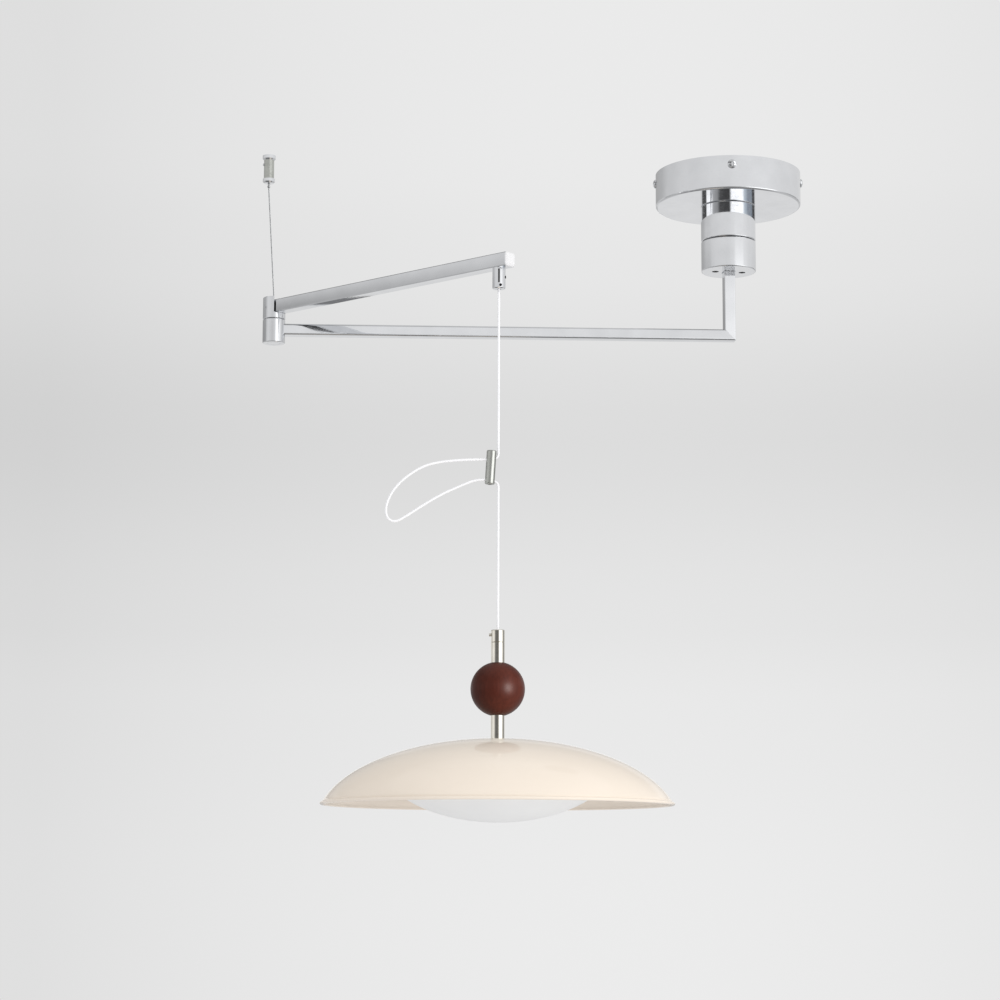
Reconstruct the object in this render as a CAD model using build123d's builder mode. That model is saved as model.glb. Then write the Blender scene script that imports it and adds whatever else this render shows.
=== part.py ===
import math
import os

from build123d import *

# An adjustable pendant lamp: canopy and column, two swinging arms, a stay wire, a cord with its
# adjuster, and a pendant with a wooden ball and a shallow shade.
# Millimetres and degrees. The origin is on the ceiling at the canopy's axis, +Z is up, and the
# lower arm runs along -X.

# Canopy and bracket
canopy_radius = 80.0
canopy_height = 37.0
canopy_wall = 1.5
canopy_edge_round = 2.0
side_screw_count = 4
side_screw_drop = 10.0
side_screw_azimuth = -9.7
side_screw_radius = 2.0
side_screw_length = 9.0
side_head_radius = 4.8
side_head_height = 2.8
bracket_thickness = 2.0
bracket_width = 16.0
bracket_clearance = 0.2
tab_drop = 17.0
ceiling_hole_radius = 2.6
ceiling_hole_spacing = 70.0
driver_size = (84.0, 34.0, 20.0)
driver_offset = (0.0, 42.0)
driver_round = 2.0
terminal_size = (36.0, 16.0, 14.0)
terminal_offset = (0.0, -40.0)
terminal_pole_count = 3
terminal_pole_pitch = 11.0
terminal_pole_radius = 2.5

# Nipple and column
nipple_radius = 5.0
nipple_drop = 0.5
nipple_length = 89.5
nipple_bore = 3.2
nut_radius = 8.6
nut_height = 5.0
column_radius = 30.0
column_wall = 2.5
column_web = 4.0
column_top_length = 39.4
column_bottom_length = 33.4
column_round = 1.0
swivel_gap = 0.6
running_clearance = 0.05
swivel_washer_thickness = 0.55
swivel_washer_radius = 27.0
swivel_nut_flange = 10.0
swivel_nut_flange_height = 2.0
plate_thickness = 3.0
plate_screw_offset = 15.0
plate_screw_radius = 1.65
plate_screw_length = 14.0
plate_head_radius = 3.4
plate_head_height = 1.6
plate_recess_radius = 3.8
plate_recess_depth = 2.2
plate_socket_radius = 1.7
plate_groove_width = 0.8
plate_groove_depth = 1.0
post_radius = 4.5

# Lower arm, drawn from the column's axis to the elbow's axis
lower_reach = 500.0
lower_fall = 1.16
lower_square = 12.0
lower_wall = 1.2
lower_drop = 182.4
tube_corner = 0.8
drop_tube_seat = 9.4

# Elbow
elbow_radius = 12.0
elbow_over = 10.4
elbow_under = 13.3
elbow_below = 14.6
elbow_gap = 0.4
elbow_washer_thickness = 0.3
elbow_washer_radius = 11.0
elbow_edge = 0.5
elbow_slot_clearance = 0.2
elbow_slot_width = 17.0
elbow_slot_back = 7.0
elbow_socket_reach = 7.5
elbow_pin_radius = 3.0
elbow_pin_head_radius = 6.0
elbow_pin_head_height = 2.3
elbow_head_clearance = 0.3
elbow_recess_radius = 7.0
elbow_recess_depth = 7.0
elbow_nut_radius = 5.5
elbow_nut_height = 5.0
elbow_pin_proud = 0.6
elbow_plug_thickness = 1.2
elbow_plug_edge = 0.3
cross_pin_radius = 1.2
cross_pin_length = 23.2
cross_pin_drop = 1.7

# Upper arm
upper_reach = 320.0
upper_swing = 49.0
upper_square = 14.0
upper_wall = 1.4
upper_drop = 167.9
upper_back = 6.0
upper_over = 13.7
end_cap_thickness = 3.0
end_cap_plug = 6.0
end_cap_round = 2.2

# Cord grip, its screws and its slit measured down from the upper tube
grip_radius = 6.5
grip_length = 21.1
grip_edge = 0.8
grip_mouth_depth = 1.2
grip_mouth_radius = 2.6
grip_mouth_throat = 1.4
grip_stud_radius = 4.0
grip_nut_radius = 5.5
grip_nut_height = 3.0
grip_screw_radius = 1.4
grip_screws_placed = [(9.1, -15.0), (18.1, -84.0)]
grip_screw_proud = 0.5
grip_slit_width = 1.8
grip_slit_depth = 3.4
grip_slit_start = 1.6
grip_slit_length = 14.0
grip_slit_azimuth = -98.0

# Stay wire and its ceiling anchor
wire_radius = 0.6
wire_hole_radius = 1.2
anchor_offset = 8.0
anchor_flange_radius = 7.0
anchor_flange_height = 5.2
anchor_edge = 1.6
anchor_sleeve_radius = 5.5
anchor_sleeve_bore = 3.9
anchor_sleeve_length = 20.7
anchor_boss_length = 14.0
anchor_cap_radius = 6.5
anchor_cap_height = 4.8
anchor_cap_spigot = 2.0
anchor_cap_hole = 1.4
anchor_bore_radius = 2.1
anchor_screw_radius = 1.25
anchor_screw_drop = 10.0
wire_tip_radius = 1.1
wire_tip_head_radius = 2.4
wire_tip_head_height = 3.0
wire_tip_proud = 5.4
wire_tip_ball_radius = 1.6
wire_gap = 0.2
wire_stop_radius = 2.2
wire_stop_length = 4.0
wire_stop_gap = 0.4

# Cord and adjuster, measured from the pendant's axis along X
cord_radius = 1.2
cord_bend = 2.4
cord_gap = 0.4
cord_tail_rise = 2.9
cord_cap_depth = 8.0
bend_share = 0.45
adjuster_radius = 4.9
adjuster_length = 33.7
adjuster_centre = (-7.6, -375.6)
adjuster_lean = 3.5
adjuster_round = 1.0
adjuster_hole_upper = -368.0
adjuster_hole_lower = -387.9
adjuster_screw_radius = 2.0
adjuster_screw_length = 2.6
adjuster_screw_recess = 0.5
adjuster_socket_radius = 1.0
loop_route = [
    (-22.0, -368.0),
    (-40.0, -369.2),
    (-57.5, -371.3),
    (-74.5, -375.8),
    (-91.5, -387.2),
    (-102.8, -399.0),
    (-109.4, -411.5),
    (-111.0, -421.5),
    (-108.8, -429.2),
    (-101.5, -432.0),
    (-92.5, -427.0),
    (-75.5, -415.5),
    (-55.5, -403.0),
    (-36.5, -394.3),
    (-22.0, -387.9),
]

# Pendant, each drop measured from the piece above
stem_drop = 535.8
stem_radius = 6.75
stem_cap_length = 12.1
stem_cap_edge = 0.8
stem_joint_edge = 0.4
cap_thread_depth = 5.0
cap_screw_radius = 1.5
cap_screw_drop = 4.8
cap_screw_proud = 2.0
rod_radius = 4.5
rod_bore = 2.5
rod_over = 9.0
ball_drop = 57.5
ball_radius = 26.5
ball_flat = 25.6
shade_drop = 47.7
shade_radius = 170.0
shade_height = 63.5
shade_wall = 1.2
shade_ellipse_radius = 175.0
shade_bead_radius = 1.6
shade_bead_over = 1.1
shade_bead_rise = 0.7
shade_washer_radius = 12.0
shade_washer_drop = 0.3
shade_washer_thickness = 1.5
rod_nut_radius = 8.0
pan_drop = 27.0
pan_radius = 104.0
pan_height = 33.0
pan_wall = 1.2
pan_round = 1.0
pan_plate = 1.5
led_board_radius = 90.0
led_board_bore = 12.0
led_board_thickness = 1.6
led_chip_size = (4.0, 4.0, 0.8)
led_chip_count = 16
led_chip_ring = 60.0
diffuser_gap = 0.2
diffuser_wall = 2.0
diffuser_lip = 7.0
diffuser_depth = 20.8
diffuser_screw_count = 3
diffuser_screw_radius = 1.5
diffuser_screw_rise = 3.5
diffuser_head_radius = 2.8
diffuser_head_height = 1.4

# Sizes that follow from the ones above
hang = (Align.CENTER, Align.CENTER, Align.MAX)
stand = (Align.CENTER, Align.CENTER, Align.MIN)
outward = (0, 90, 0)
inward = (0, -90, 0)
sideways = (90, 0, 0)
side_ball_radius = (side_head_radius**2 + side_head_height**2) / (2 * side_head_height)
side_ball_angle = math.degrees(math.asin(1 - side_head_height / side_ball_radius))
canopy_floor = -canopy_height + canopy_wall
nipple_top = -nipple_drop
nipple_end = nipple_top - nipple_length
column_split = -canopy_height - column_top_length
column_low_top = column_split - swivel_gap
column_bottom = column_low_top - column_bottom_length
plate_top = column_bottom + plate_thickness
plate_groove = lower_square + 2 * plate_groove_width
column_bore = column_radius - column_wall
swivel_nut_top = column_low_top - column_web - running_clearance
swing = math.radians(upper_swing)
fall = math.radians(lower_fall)
arm_way = Vector(math.cos(swing), -math.sin(swing), 0)
pendant_x = -lower_reach + upper_reach * math.cos(swing)
pendant_y = -upper_reach * math.sin(swing)
drop_tube_top = column_bottom + drop_tube_seat
lower_centre_z = -lower_drop
lower_end_z = lower_centre_z - lower_reach * math.tan(fall)
lower_bore = lower_square - 2 * lower_wall
lower_length = (lower_reach - elbow_socket_reach) / math.cos(fall)
upper_centre_z = -upper_drop
upper_bottom = upper_centre_z - upper_square / 2
upper_bore = upper_square - 2 * upper_wall
elbow_top = upper_centre_z + elbow_over
elbow_split = upper_centre_z - elbow_under
elbow_bottom = lower_end_z - elbow_below
elbow_low_top = elbow_split - elbow_gap
elbow_slot_floor = upper_bottom - elbow_slot_clearance
elbow_head_bottom = elbow_slot_floor - running_clearance - elbow_pin_head_height
elbow_seat = elbow_head_bottom - running_clearance
elbow_nut_top = elbow_bottom + elbow_recess_depth
elbow_pin_end = elbow_nut_top - elbow_nut_height - elbow_pin_proud
cross_pin_z = upper_centre_z - cross_pin_drop
grip_bottom = upper_bottom - grip_length
grip_mouth_top = grip_bottom + grip_mouth_depth
grip_screw_length = grip_radius + grip_screw_proud - cord_radius
cord_top = grip_mouth_top - cord_gap
cord_tail_top = upper_bottom + cord_tail_rise
cord_hole_radius = cord_radius + running_clearance
rod_hole_radius = rod_radius + running_clearance
stem_top = -stem_drop
stem_cap_bottom = stem_top - stem_cap_length
cap_screw_z = stem_top - cap_screw_drop
ball_centre_z = stem_top - ball_drop
stem_upper_bottom = ball_centre_z + ball_flat
stem_lower_top = ball_centre_z - ball_flat
shade_top = ball_centre_z - shade_drop
shade_rim = shade_top - shade_height
rim_share = math.sqrt(1 - (shade_radius / shade_ellipse_radius) ** 2)
shade_ellipse_height = shade_height / (1 - rim_share)
shade_ellipse_z = shade_top - shade_ellipse_height
shade_bead_ring = shade_radius + shade_bead_over - shade_bead_radius
pan_top = shade_top - pan_drop
pan_bottom = pan_top - pan_height
rod_end = pan_top - rod_over
diffuser_low = pan_bottom - diffuser_depth
diffuser_screw_z = pan_bottom + diffuser_screw_rise
lean = math.radians(adjuster_lean)
adjuster_screw_depth = adjuster_screw_recess + adjuster_screw_length
adjuster_side = adjuster_radius / math.cos(lean)
loop_start_lean = (adjuster_hole_upper - adjuster_centre[1]) * math.tan(lean)
loop_end_lean = (adjuster_hole_lower - adjuster_centre[1]) * math.tan(lean)
loop_start = pendant_x + adjuster_centre[0] + loop_start_lean - adjuster_side
loop_end = pendant_x + adjuster_centre[0] + loop_end_lean - adjuster_side
shade_washer_top = shade_top - shade_wall - shade_washer_drop
diffuser_radius = pan_radius - pan_wall - diffuser_gap
diffuser_screw_length = pan_wall + diffuser_gap + diffuser_wall
anchor_x = -lower_reach - anchor_offset
anchor_sleeve_end = -anchor_flange_height - anchor_sleeve_length
anchor_cap_end = anchor_sleeve_end - anchor_cap_height
wire_tip_end = anchor_cap_end - wire_tip_proud
wire_stop_top = upper_centre_z + upper_bore / 2 - wire_stop_gap
wire_foot = Vector(-lower_reach, 0, wire_stop_top - wire_stop_length)
wire_head = Vector(anchor_x, 0, wire_tip_end - wire_gap)

# Reference planes
ceiling = Plane.XY
elbow = Plane(origin=(-lower_reach, 0, 0), x_dir=arm_way)
pendant = Plane(origin=(pendant_x, pendant_y, 0))
pendant_side = Plane(origin=(pendant_x, pendant_y, 0), x_dir=(1, 0, 0), z_dir=(0, -1, 0))
pendant_axis = Axis((pendant_x, pendant_y, 0), (0, 0, 1))
anchor = Plane(origin=(anchor_x, 0, 0))
corner = Vector(0, 0, lower_centre_z)
lower_way = Vector(-math.cos(fall), 0, -math.sin(fall))
mitre = Plane(origin=corner, x_dir=(0, 1, 0), z_dir=lower_way * -1 + Vector(0, 0, 1))
lower_section = Plane(origin=corner - lower_way * lower_square, x_dir=(0, 1, 0), z_dir=lower_way)
lower_end = Plane(origin=corner + lower_way * lower_length, x_dir=(0, 1, 0), z_dir=lower_way * -1)
upper_start = Vector(-lower_reach, 0, upper_centre_z)
upper_section = Plane(origin=upper_start - arm_way * upper_back, x_dir=(0, 0, 1), z_dir=arm_way)
upper_end = Plane(
    origin=upper_start + arm_way * (upper_reach + upper_over), x_dir=(0, 0, 1), z_dir=arm_way
)
wire_plane = Plane(origin=wire_foot, z_dir=wire_head - wire_foot)
adjuster_way = Vector(math.sin(lean), 0, math.cos(lean))
adjuster_middle = Vector(pendant_x + adjuster_centre[0], pendant_y, adjuster_centre[1])
adjuster = Plane(origin=adjuster_middle, x_dir=(0, 1, 0), z_dir=adjuster_way)
adjuster_ends = [
    Plane(origin=adjuster_middle + way * (adjuster_length / 2), x_dir=(0, 1, 0), z_dir=way)
    for way in (adjuster_way, adjuster_way * -1)
]

os.makedirs("parts", exist_ok=True)


def write(piece, name):
    piece.part.label = name
    export_step(piece.part, f"parts/{name}.step")


def bend_radii(points):
    # The largest round that each corner of a cord's route can take
    radii = []
    for before, here, after in zip(points, points[1:], points[2:]):
        first = Vector(*here) - Vector(*before)
        second = Vector(*after) - Vector(*here)
        half_turn = math.radians(first.get_angle(second) / 2)
        radii.append(bend_share * min(first.length, second.length) / math.tan(half_turn))
    return radii


def report_cord(cord, route):
    length = route.wires()[0].length
    section = math.pi * cord_radius**2
    share = cord.part.volume / section / length
    print(cord.part.label, "length", round(length, 1), "volume over section and length", round(share, 4))


# Ceiling bracket: a cross strap with four turned-down tabs that take the side screws
canopy_bore = canopy_radius - canopy_wall
tab_face = math.sqrt(canopy_bore**2 - (bracket_width / 2) ** 2) - bracket_clearance
with BuildPart() as ceiling_bracket:
    with PolarLocations(0, side_screw_count, start_angle=side_screw_azimuth):
        Box(tab_face, bracket_width, bracket_thickness, align=(Align.MIN, Align.CENTER, Align.MAX))
    with PolarLocations(tab_face, side_screw_count, start_angle=side_screw_azimuth):
        Box(bracket_thickness, bracket_width, tab_drop, align=(Align.MAX, Align.CENTER, Align.MAX))
    Cylinder(nipple_radius, bracket_thickness, align=hang, mode=Mode.SUBTRACT)
    with PolarLocations(ceiling_hole_spacing / 2, 2, start_angle=side_screw_azimuth):
        Cylinder(ceiling_hole_radius, bracket_thickness, align=hang, mode=Mode.SUBTRACT)
    with Locations((0, 0, -side_screw_drop)):
        with PolarLocations(tab_face, side_screw_count, start_angle=side_screw_azimuth):
            Cylinder(side_screw_radius, 3 * bracket_thickness, rotation=outward, mode=Mode.SUBTRACT)
write(ceiling_bracket, "ceiling_bracket")

# Canopy: a shallow cup whose rim meets the ceiling
with BuildPart() as canopy:
    Cylinder(canopy_radius, canopy_height, align=hang)
    fillet(canopy.edges().group_by(Axis.Z)[0], canopy_edge_round)
    Cylinder(canopy_bore, canopy_height - canopy_wall, align=hang, mode=Mode.SUBTRACT)
    Cylinder(nipple_radius + bracket_clearance, canopy_height, align=hang, mode=Mode.SUBTRACT)
    with Locations((0, 0, -side_screw_drop)):
        with PolarLocations(canopy_radius, side_screw_count, start_angle=side_screw_azimuth):
            Cylinder(side_screw_radius, 4 * canopy_wall, rotation=outward, mode=Mode.SUBTRACT)
write(canopy, "canopy")

# Side screws: round heads outside the canopy, shanks through its wall into the bracket's tabs
with BuildPart() as side_screws:
    with Locations((0, 0, -side_screw_drop)):
        with PolarLocations(canopy_radius, side_screw_count, start_angle=side_screw_azimuth):
            Sphere(side_ball_radius, arc_size1=side_ball_angle, rotation=outward, align=stand)
            Cylinder(side_screw_radius, side_screw_length, rotation=outward, align=hang)
write(side_screws, "side_screws")

# Driver and terminal block, on the canopy's floor
with BuildPart() as led_driver:
    with Locations((driver_offset[0], driver_offset[1], canopy_floor)):
        Box(*driver_size, align=stand)
    fillet(led_driver.edges().filter_by(Axis.Z), driver_round)
write(led_driver, "led_driver")

with BuildPart() as terminal_block:
    with Locations((terminal_offset[0], terminal_offset[1], canopy_floor)):
        Box(*terminal_size, align=stand)
    with Locations((terminal_offset[0], terminal_offset[1], canopy_floor + terminal_size[2])):
        with GridLocations(terminal_pole_pitch, 0, terminal_pole_count, 1):
            Cylinder(terminal_pole_radius, terminal_size[2] / 2, align=hang, mode=Mode.SUBTRACT)
write(terminal_block, "terminal_block")

# Nipple: the hollow threaded pipe that the bracket, canopy and column hang on
with BuildPart() as nipple:
    with Locations((0, 0, nipple_top)):
        Cylinder(nipple_radius, nipple_length, align=hang)
        Cylinder(nipple_bore, nipple_length, align=hang, mode=Mode.SUBTRACT)
write(nipple, "nipple")

with BuildPart() as nipple_nuts:
    for nut_top in (-bracket_thickness, canopy_floor + nut_height):
        with BuildSketch(ceiling.offset(nut_top)):
            RegularPolygon(nut_radius, 6)
            Circle(nipple_radius, mode=Mode.SUBTRACT)
        extrude(amount=-nut_height)
write(nipple_nuts, "nipple_nuts")

# Column: a fixed upper barrel and a lower barrel that turns on the nipple
with BuildPart() as column_top:
    with Locations((0, 0, -canopy_height)):
        Cylinder(column_radius, column_top_length, align=hang)
    fillet(column_top.edges().filter_by(GeomType.CIRCLE), column_round)
    with Locations((0, 0, -canopy_height)):
        Cylinder(column_bore, column_top_length - column_web, align=hang, mode=Mode.SUBTRACT)
        Cylinder(nipple_radius, column_top_length, align=hang, mode=Mode.SUBTRACT)
write(column_top, "column_top")

with BuildPart() as swivel_washer:
    with Locations((0, 0, column_split)):
        Cylinder(swivel_washer_radius, swivel_washer_thickness, align=hang)
        Cylinder(nipple_radius, swivel_washer_thickness, align=hang, mode=Mode.SUBTRACT)
write(swivel_washer, "swivel_washer")

with BuildPart() as swivel_nut:
    with Locations((0, 0, swivel_nut_top)):
        Cylinder(swivel_nut_flange, swivel_nut_flange_height, align=hang)
    with BuildSketch(ceiling.offset(swivel_nut_top)):
        RegularPolygon(nut_radius, 6)
    extrude(amount=nipple_end - swivel_nut_top)
    with Locations((0, 0, swivel_nut_top)):
        Cylinder(nipple_radius, swivel_nut_top - nipple_end, align=hang, mode=Mode.SUBTRACT)
write(swivel_nut, "swivel_nut")

with BuildPart() as column_low:
    with Locations((0, 0, column_low_top)):
        Cylinder(column_radius, column_bottom_length, align=hang)
    fillet(column_low.edges().filter_by(GeomType.CIRCLE), column_round)
    with Locations((0, 0, column_bottom)):
        Cylinder(column_bore, column_bottom_length - column_web, align=stand, mode=Mode.SUBTRACT)
    with Locations((0, 0, plate_top)):
        with GridLocations(2 * plate_screw_offset, 0, 2, 1):
            Cylinder(post_radius, column_low_top - column_web - plate_top, align=stand)
            Cylinder(plate_screw_radius, plate_screw_length, align=stand, mode=Mode.SUBTRACT)
    with Locations((0, 0, column_low_top)):
        Cylinder(nipple_radius + running_clearance, column_web, align=hang, mode=Mode.SUBTRACT)
write(column_low, "column_low")

with BuildPart() as column_plate:
    with Locations((0, 0, plate_top)):
        Cylinder(column_bore, plate_thickness, align=hang)
    with BuildSketch(ceiling.offset(plate_top)):
        RectangleRounded(lower_square, lower_square, tube_corner)
    extrude(amount=-plate_thickness, mode=Mode.SUBTRACT)
    with BuildSketch(ceiling.offset(column_bottom)):
        RectangleRounded(plate_groove, plate_groove, tube_corner + plate_groove_width)
    extrude(amount=plate_groove_depth, mode=Mode.SUBTRACT)
    with Locations((0, 0, column_bottom)):
        with GridLocations(2 * plate_screw_offset, 0, 2, 1):
            Cylinder(plate_screw_radius, plate_thickness, align=stand, mode=Mode.SUBTRACT)
            Cylinder(plate_recess_radius, plate_recess_depth, align=stand, mode=Mode.SUBTRACT)
write(column_plate, "column_plate")

with BuildPart() as plate_screws:
    with Locations((0, 0, column_bottom + plate_recess_depth)):
        with GridLocations(2 * plate_screw_offset, 0, 2, 1):
            Cylinder(plate_head_radius, plate_head_height, align=hang)
            Cylinder(plate_screw_radius, plate_screw_length, align=stand)
    with BuildSketch(ceiling.offset(column_bottom + plate_recess_depth - plate_head_height)):
        with GridLocations(2 * plate_screw_offset, 0, 2, 1):
            RegularPolygon(plate_socket_radius, 6)
    extrude(amount=plate_head_height, mode=Mode.SUBTRACT)
write(plate_screws, "plate_screws")

# Drop tube and lower tube: one square section, mitred where they meet
with BuildPart() as drop_tube:
    with BuildSketch(ceiling.offset(drop_tube_top)):
        RectangleRounded(lower_square, lower_square, tube_corner)
        Rectangle(lower_bore, lower_bore, mode=Mode.SUBTRACT)
    extrude(amount=lower_centre_z - lower_square - drop_tube_top)
    split(bisect_by=mitre, keep=Keep.TOP)
write(drop_tube, "drop_tube")

with BuildPart() as lower_tube:
    with BuildSketch(lower_section):
        RectangleRounded(lower_square, lower_square, tube_corner)
        Rectangle(lower_bore, lower_bore, mode=Mode.SUBTRACT)
    extrude(amount=lower_square + lower_length)
    split(bisect_by=mitre, keep=Keep.BOTTOM)
write(lower_tube, "lower_tube")

# Elbow: a lower barrel fixed to the lower tube, with the pin that the upper barrel turns on
with BuildPart() as elbow_lower:
    with Locations(elbow.offset(elbow_low_top)):
        Cylinder(elbow_radius, elbow_low_top - elbow_bottom, align=hang)
    chamfer(elbow_lower.edges().group_by(Axis.Z)[0], elbow_edge)
    chamfer(elbow_lower.edges().group_by(Axis.Z)[-1], elbow_edge)
    with BuildSketch(lower_end):
        RectangleRounded(lower_square, lower_square, tube_corner)
    extrude(amount=2 * elbow_radius, mode=Mode.SUBTRACT)
    with Locations(elbow.offset(elbow_bottom)):
        Cylinder(elbow_pin_radius, elbow_low_top - elbow_bottom, align=stand, mode=Mode.SUBTRACT)
        Cylinder(elbow_recess_radius, elbow_recess_depth, align=stand, mode=Mode.SUBTRACT)
write(elbow_lower, "elbow_lower")

with BuildPart() as elbow_pin:
    with Locations(elbow.offset(elbow_head_bottom)):
        Cylinder(elbow_pin_head_radius, elbow_pin_head_height, align=stand)
        Cylinder(elbow_pin_radius, elbow_head_bottom - elbow_pin_end, align=hang)
write(elbow_pin, "elbow_pin")

with BuildPart() as elbow_nut:
    with BuildSketch(elbow.offset(elbow_nut_top)):
        RegularPolygon(elbow_nut_radius, 6)
        Circle(elbow_pin_radius, mode=Mode.SUBTRACT)
    extrude(amount=-elbow_nut_height)
write(elbow_nut, "elbow_nut")

with BuildPart() as elbow_plug:
    with Locations(elbow.offset(elbow_bottom)):
        Cylinder(elbow_recess_radius, elbow_plug_thickness, align=stand)
    chamfer(elbow_plug.edges().group_by(Axis.Z)[0], elbow_plug_edge)
write(elbow_plug, "elbow_plug")

with BuildPart() as elbow_washer:
    with Locations(elbow.offset(elbow_low_top)):
        Cylinder(elbow_washer_radius, elbow_washer_thickness, align=stand)
        Cylinder(elbow_pin_radius, elbow_washer_thickness, align=stand, mode=Mode.SUBTRACT)
write(elbow_washer, "elbow_washer")

with BuildPart() as elbow_upper:
    with Locations(elbow.offset(elbow_split)):
        Cylinder(elbow_radius, elbow_top - elbow_split, align=stand)
    chamfer(elbow_upper.edges().group_by(Axis.Z)[0], elbow_edge)
    chamfer(elbow_upper.edges().group_by(Axis.Z)[-1], elbow_edge)
    with Locations(elbow.offset(elbow_slot_floor)):
        with Locations((-elbow_slot_back, 0, 0)):
            Box(
                2 * elbow_radius,
                elbow_slot_width,
                elbow_top - elbow_slot_floor,
                align=(Align.MIN, Align.CENTER, Align.MIN),
                mode=Mode.SUBTRACT,
            )
        Cylinder(
            elbow_pin_head_radius + elbow_head_clearance,
            elbow_slot_floor - elbow_seat,
            align=hang,
            mode=Mode.SUBTRACT,
        )
    with Locations(elbow.offset(elbow_split)):
        Cylinder(elbow_pin_radius + running_clearance, elbow_radius, align=stand, mode=Mode.SUBTRACT)
    with Locations(elbow.offset(cross_pin_z)):
        Cylinder(cross_pin_radius, 2 * elbow_radius, rotation=sideways, mode=Mode.SUBTRACT)
write(elbow_upper, "elbow_upper")

# Upper tube, held in the elbow's slot by a cross pin
with BuildPart() as upper_tube:
    with BuildSketch(upper_section):
        RectangleRounded(upper_square, upper_square, tube_corner)
        Rectangle(upper_bore, upper_bore, mode=Mode.SUBTRACT)
    extrude(amount=upper_reach + upper_over + upper_back)
    with Locations(elbow.offset(upper_centre_z)):
        Cylinder(wire_hole_radius, upper_square, align=stand, mode=Mode.SUBTRACT)
    with Locations(elbow.offset(cross_pin_z)):
        Cylinder(cross_pin_radius, 2 * elbow_radius, rotation=sideways, mode=Mode.SUBTRACT)
    with Locations(pendant.offset(upper_centre_z)):
        Cylinder(grip_stud_radius, upper_square, align=hang, mode=Mode.SUBTRACT)
write(upper_tube, "upper_tube")

with BuildPart() as cross_pin:
    with Locations(elbow.offset(cross_pin_z)):
        Cylinder(cross_pin_radius, cross_pin_length, rotation=sideways)
write(cross_pin, "cross_pin")

with BuildPart() as end_cap:
    with BuildSketch(upper_end):
        RectangleRounded(upper_square, upper_square, tube_corner)
    extrude(amount=end_cap_thickness)
    fillet(end_cap.edges().group_by(Axis((0, 0, 0), arm_way))[-1], end_cap_round)
    with BuildSketch(upper_end):
        Rectangle(upper_bore, upper_bore)
    extrude(amount=-end_cap_plug)
write(end_cap, "end_cap")

# Cord grip under the upper tube's end, and the end of the cord that it clamps
with BuildPart() as cord_grip:
    with Locations(pendant.offset(upper_bottom)):
        Cylinder(grip_radius, upper_bottom - grip_bottom, align=hang)
    chamfer(cord_grip.edges().group_by(Axis.Z)[0], grip_edge)
    with Locations(pendant.offset(upper_bottom)):
        Cylinder(grip_stud_radius, upper_wall + grip_nut_height + grip_edge, align=stand)
    with Locations(pendant.offset(grip_bottom)):
        Cylinder(cord_radius, upper_square * 3, align=stand, mode=Mode.SUBTRACT)
        Cone(
            grip_mouth_radius,
            grip_mouth_throat,
            grip_mouth_top - grip_bottom,
            align=stand,
            mode=Mode.SUBTRACT,
        )
    for drop, azimuth in grip_screws_placed:
        with Locations(pendant.offset(upper_bottom - drop)):
            with PolarLocations(cord_radius / 2, 1, start_angle=azimuth):
                Cylinder(grip_screw_radius, grip_radius, rotation=outward, align=stand, mode=Mode.SUBTRACT)
    with Locations(pendant.offset(upper_bottom - grip_slit_start)):
        with PolarLocations(grip_radius - grip_slit_depth, 1, start_angle=grip_slit_azimuth):
            Box(
                2 * grip_slit_depth,
                grip_slit_width,
                grip_slit_length,
                align=(Align.MIN, Align.CENTER, Align.MAX),
                mode=Mode.SUBTRACT,
            )
write(cord_grip, "cord_grip")

with BuildPart() as grip_nut:
    with BuildSketch(pendant.offset(upper_bottom + upper_wall)):
        RegularPolygon(grip_nut_radius, 6, rotation=-upper_swing)
        Circle(grip_stud_radius, mode=Mode.SUBTRACT)
    extrude(amount=grip_nut_height)
write(grip_nut, "grip_nut")

with BuildPart() as grip_screws:
    for drop, azimuth in grip_screws_placed:
        with Locations(pendant.offset(upper_bottom - drop)):
            with PolarLocations(cord_radius, 1, start_angle=azimuth):
                Cylinder(grip_screw_radius, grip_screw_length, rotation=outward, align=stand)
write(grip_screws, "grip_screws")

with BuildPart() as cord_tail:
    with Locations(pendant.offset(cord_tail_top)):
        Cylinder(cord_radius, cord_tail_top - grip_mouth_top, align=hang)
write(cord_tail, "cord_tail")

# Ceiling anchor of the stay wire
with BuildPart() as anchor_base:
    with Locations(anchor):
        Cylinder(anchor_flange_radius, anchor_flange_height, align=hang)
    chamfer(anchor_base.edges().group_by(Axis.Z)[0], anchor_edge)
    with Locations(anchor):
        Cylinder(anchor_sleeve_bore, anchor_boss_length, align=hang)
        Cylinder(anchor_bore_radius, anchor_boss_length, align=hang, mode=Mode.SUBTRACT)
write(anchor_base, "anchor_base")

with BuildPart() as anchor_sleeve:
    with Locations(anchor.offset(-anchor_flange_height)):
        Cylinder(anchor_sleeve_radius, anchor_sleeve_length, align=hang)
        Cylinder(anchor_sleeve_bore, anchor_sleeve_length, align=hang, mode=Mode.SUBTRACT)
    with Locations(anchor.offset(-anchor_screw_drop)):
        Cylinder(anchor_screw_radius, 2 * anchor_cap_radius, rotation=inward, align=stand, mode=Mode.SUBTRACT)
write(anchor_sleeve, "anchor_sleeve")

with BuildPart() as anchor_set_screw:
    with Locations(anchor.offset(-anchor_screw_drop)):
        with Locations((-anchor_cap_radius, 0, 0)):
            Cylinder(
                anchor_screw_radius,
                anchor_cap_radius - anchor_bore_radius,
                rotation=outward,
                align=stand,
            )
    with Locations(anchor):
        Cylinder(anchor_sleeve_bore, anchor_boss_length, align=hang, mode=Mode.SUBTRACT)
write(anchor_set_screw, "anchor_set_screw")

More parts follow.
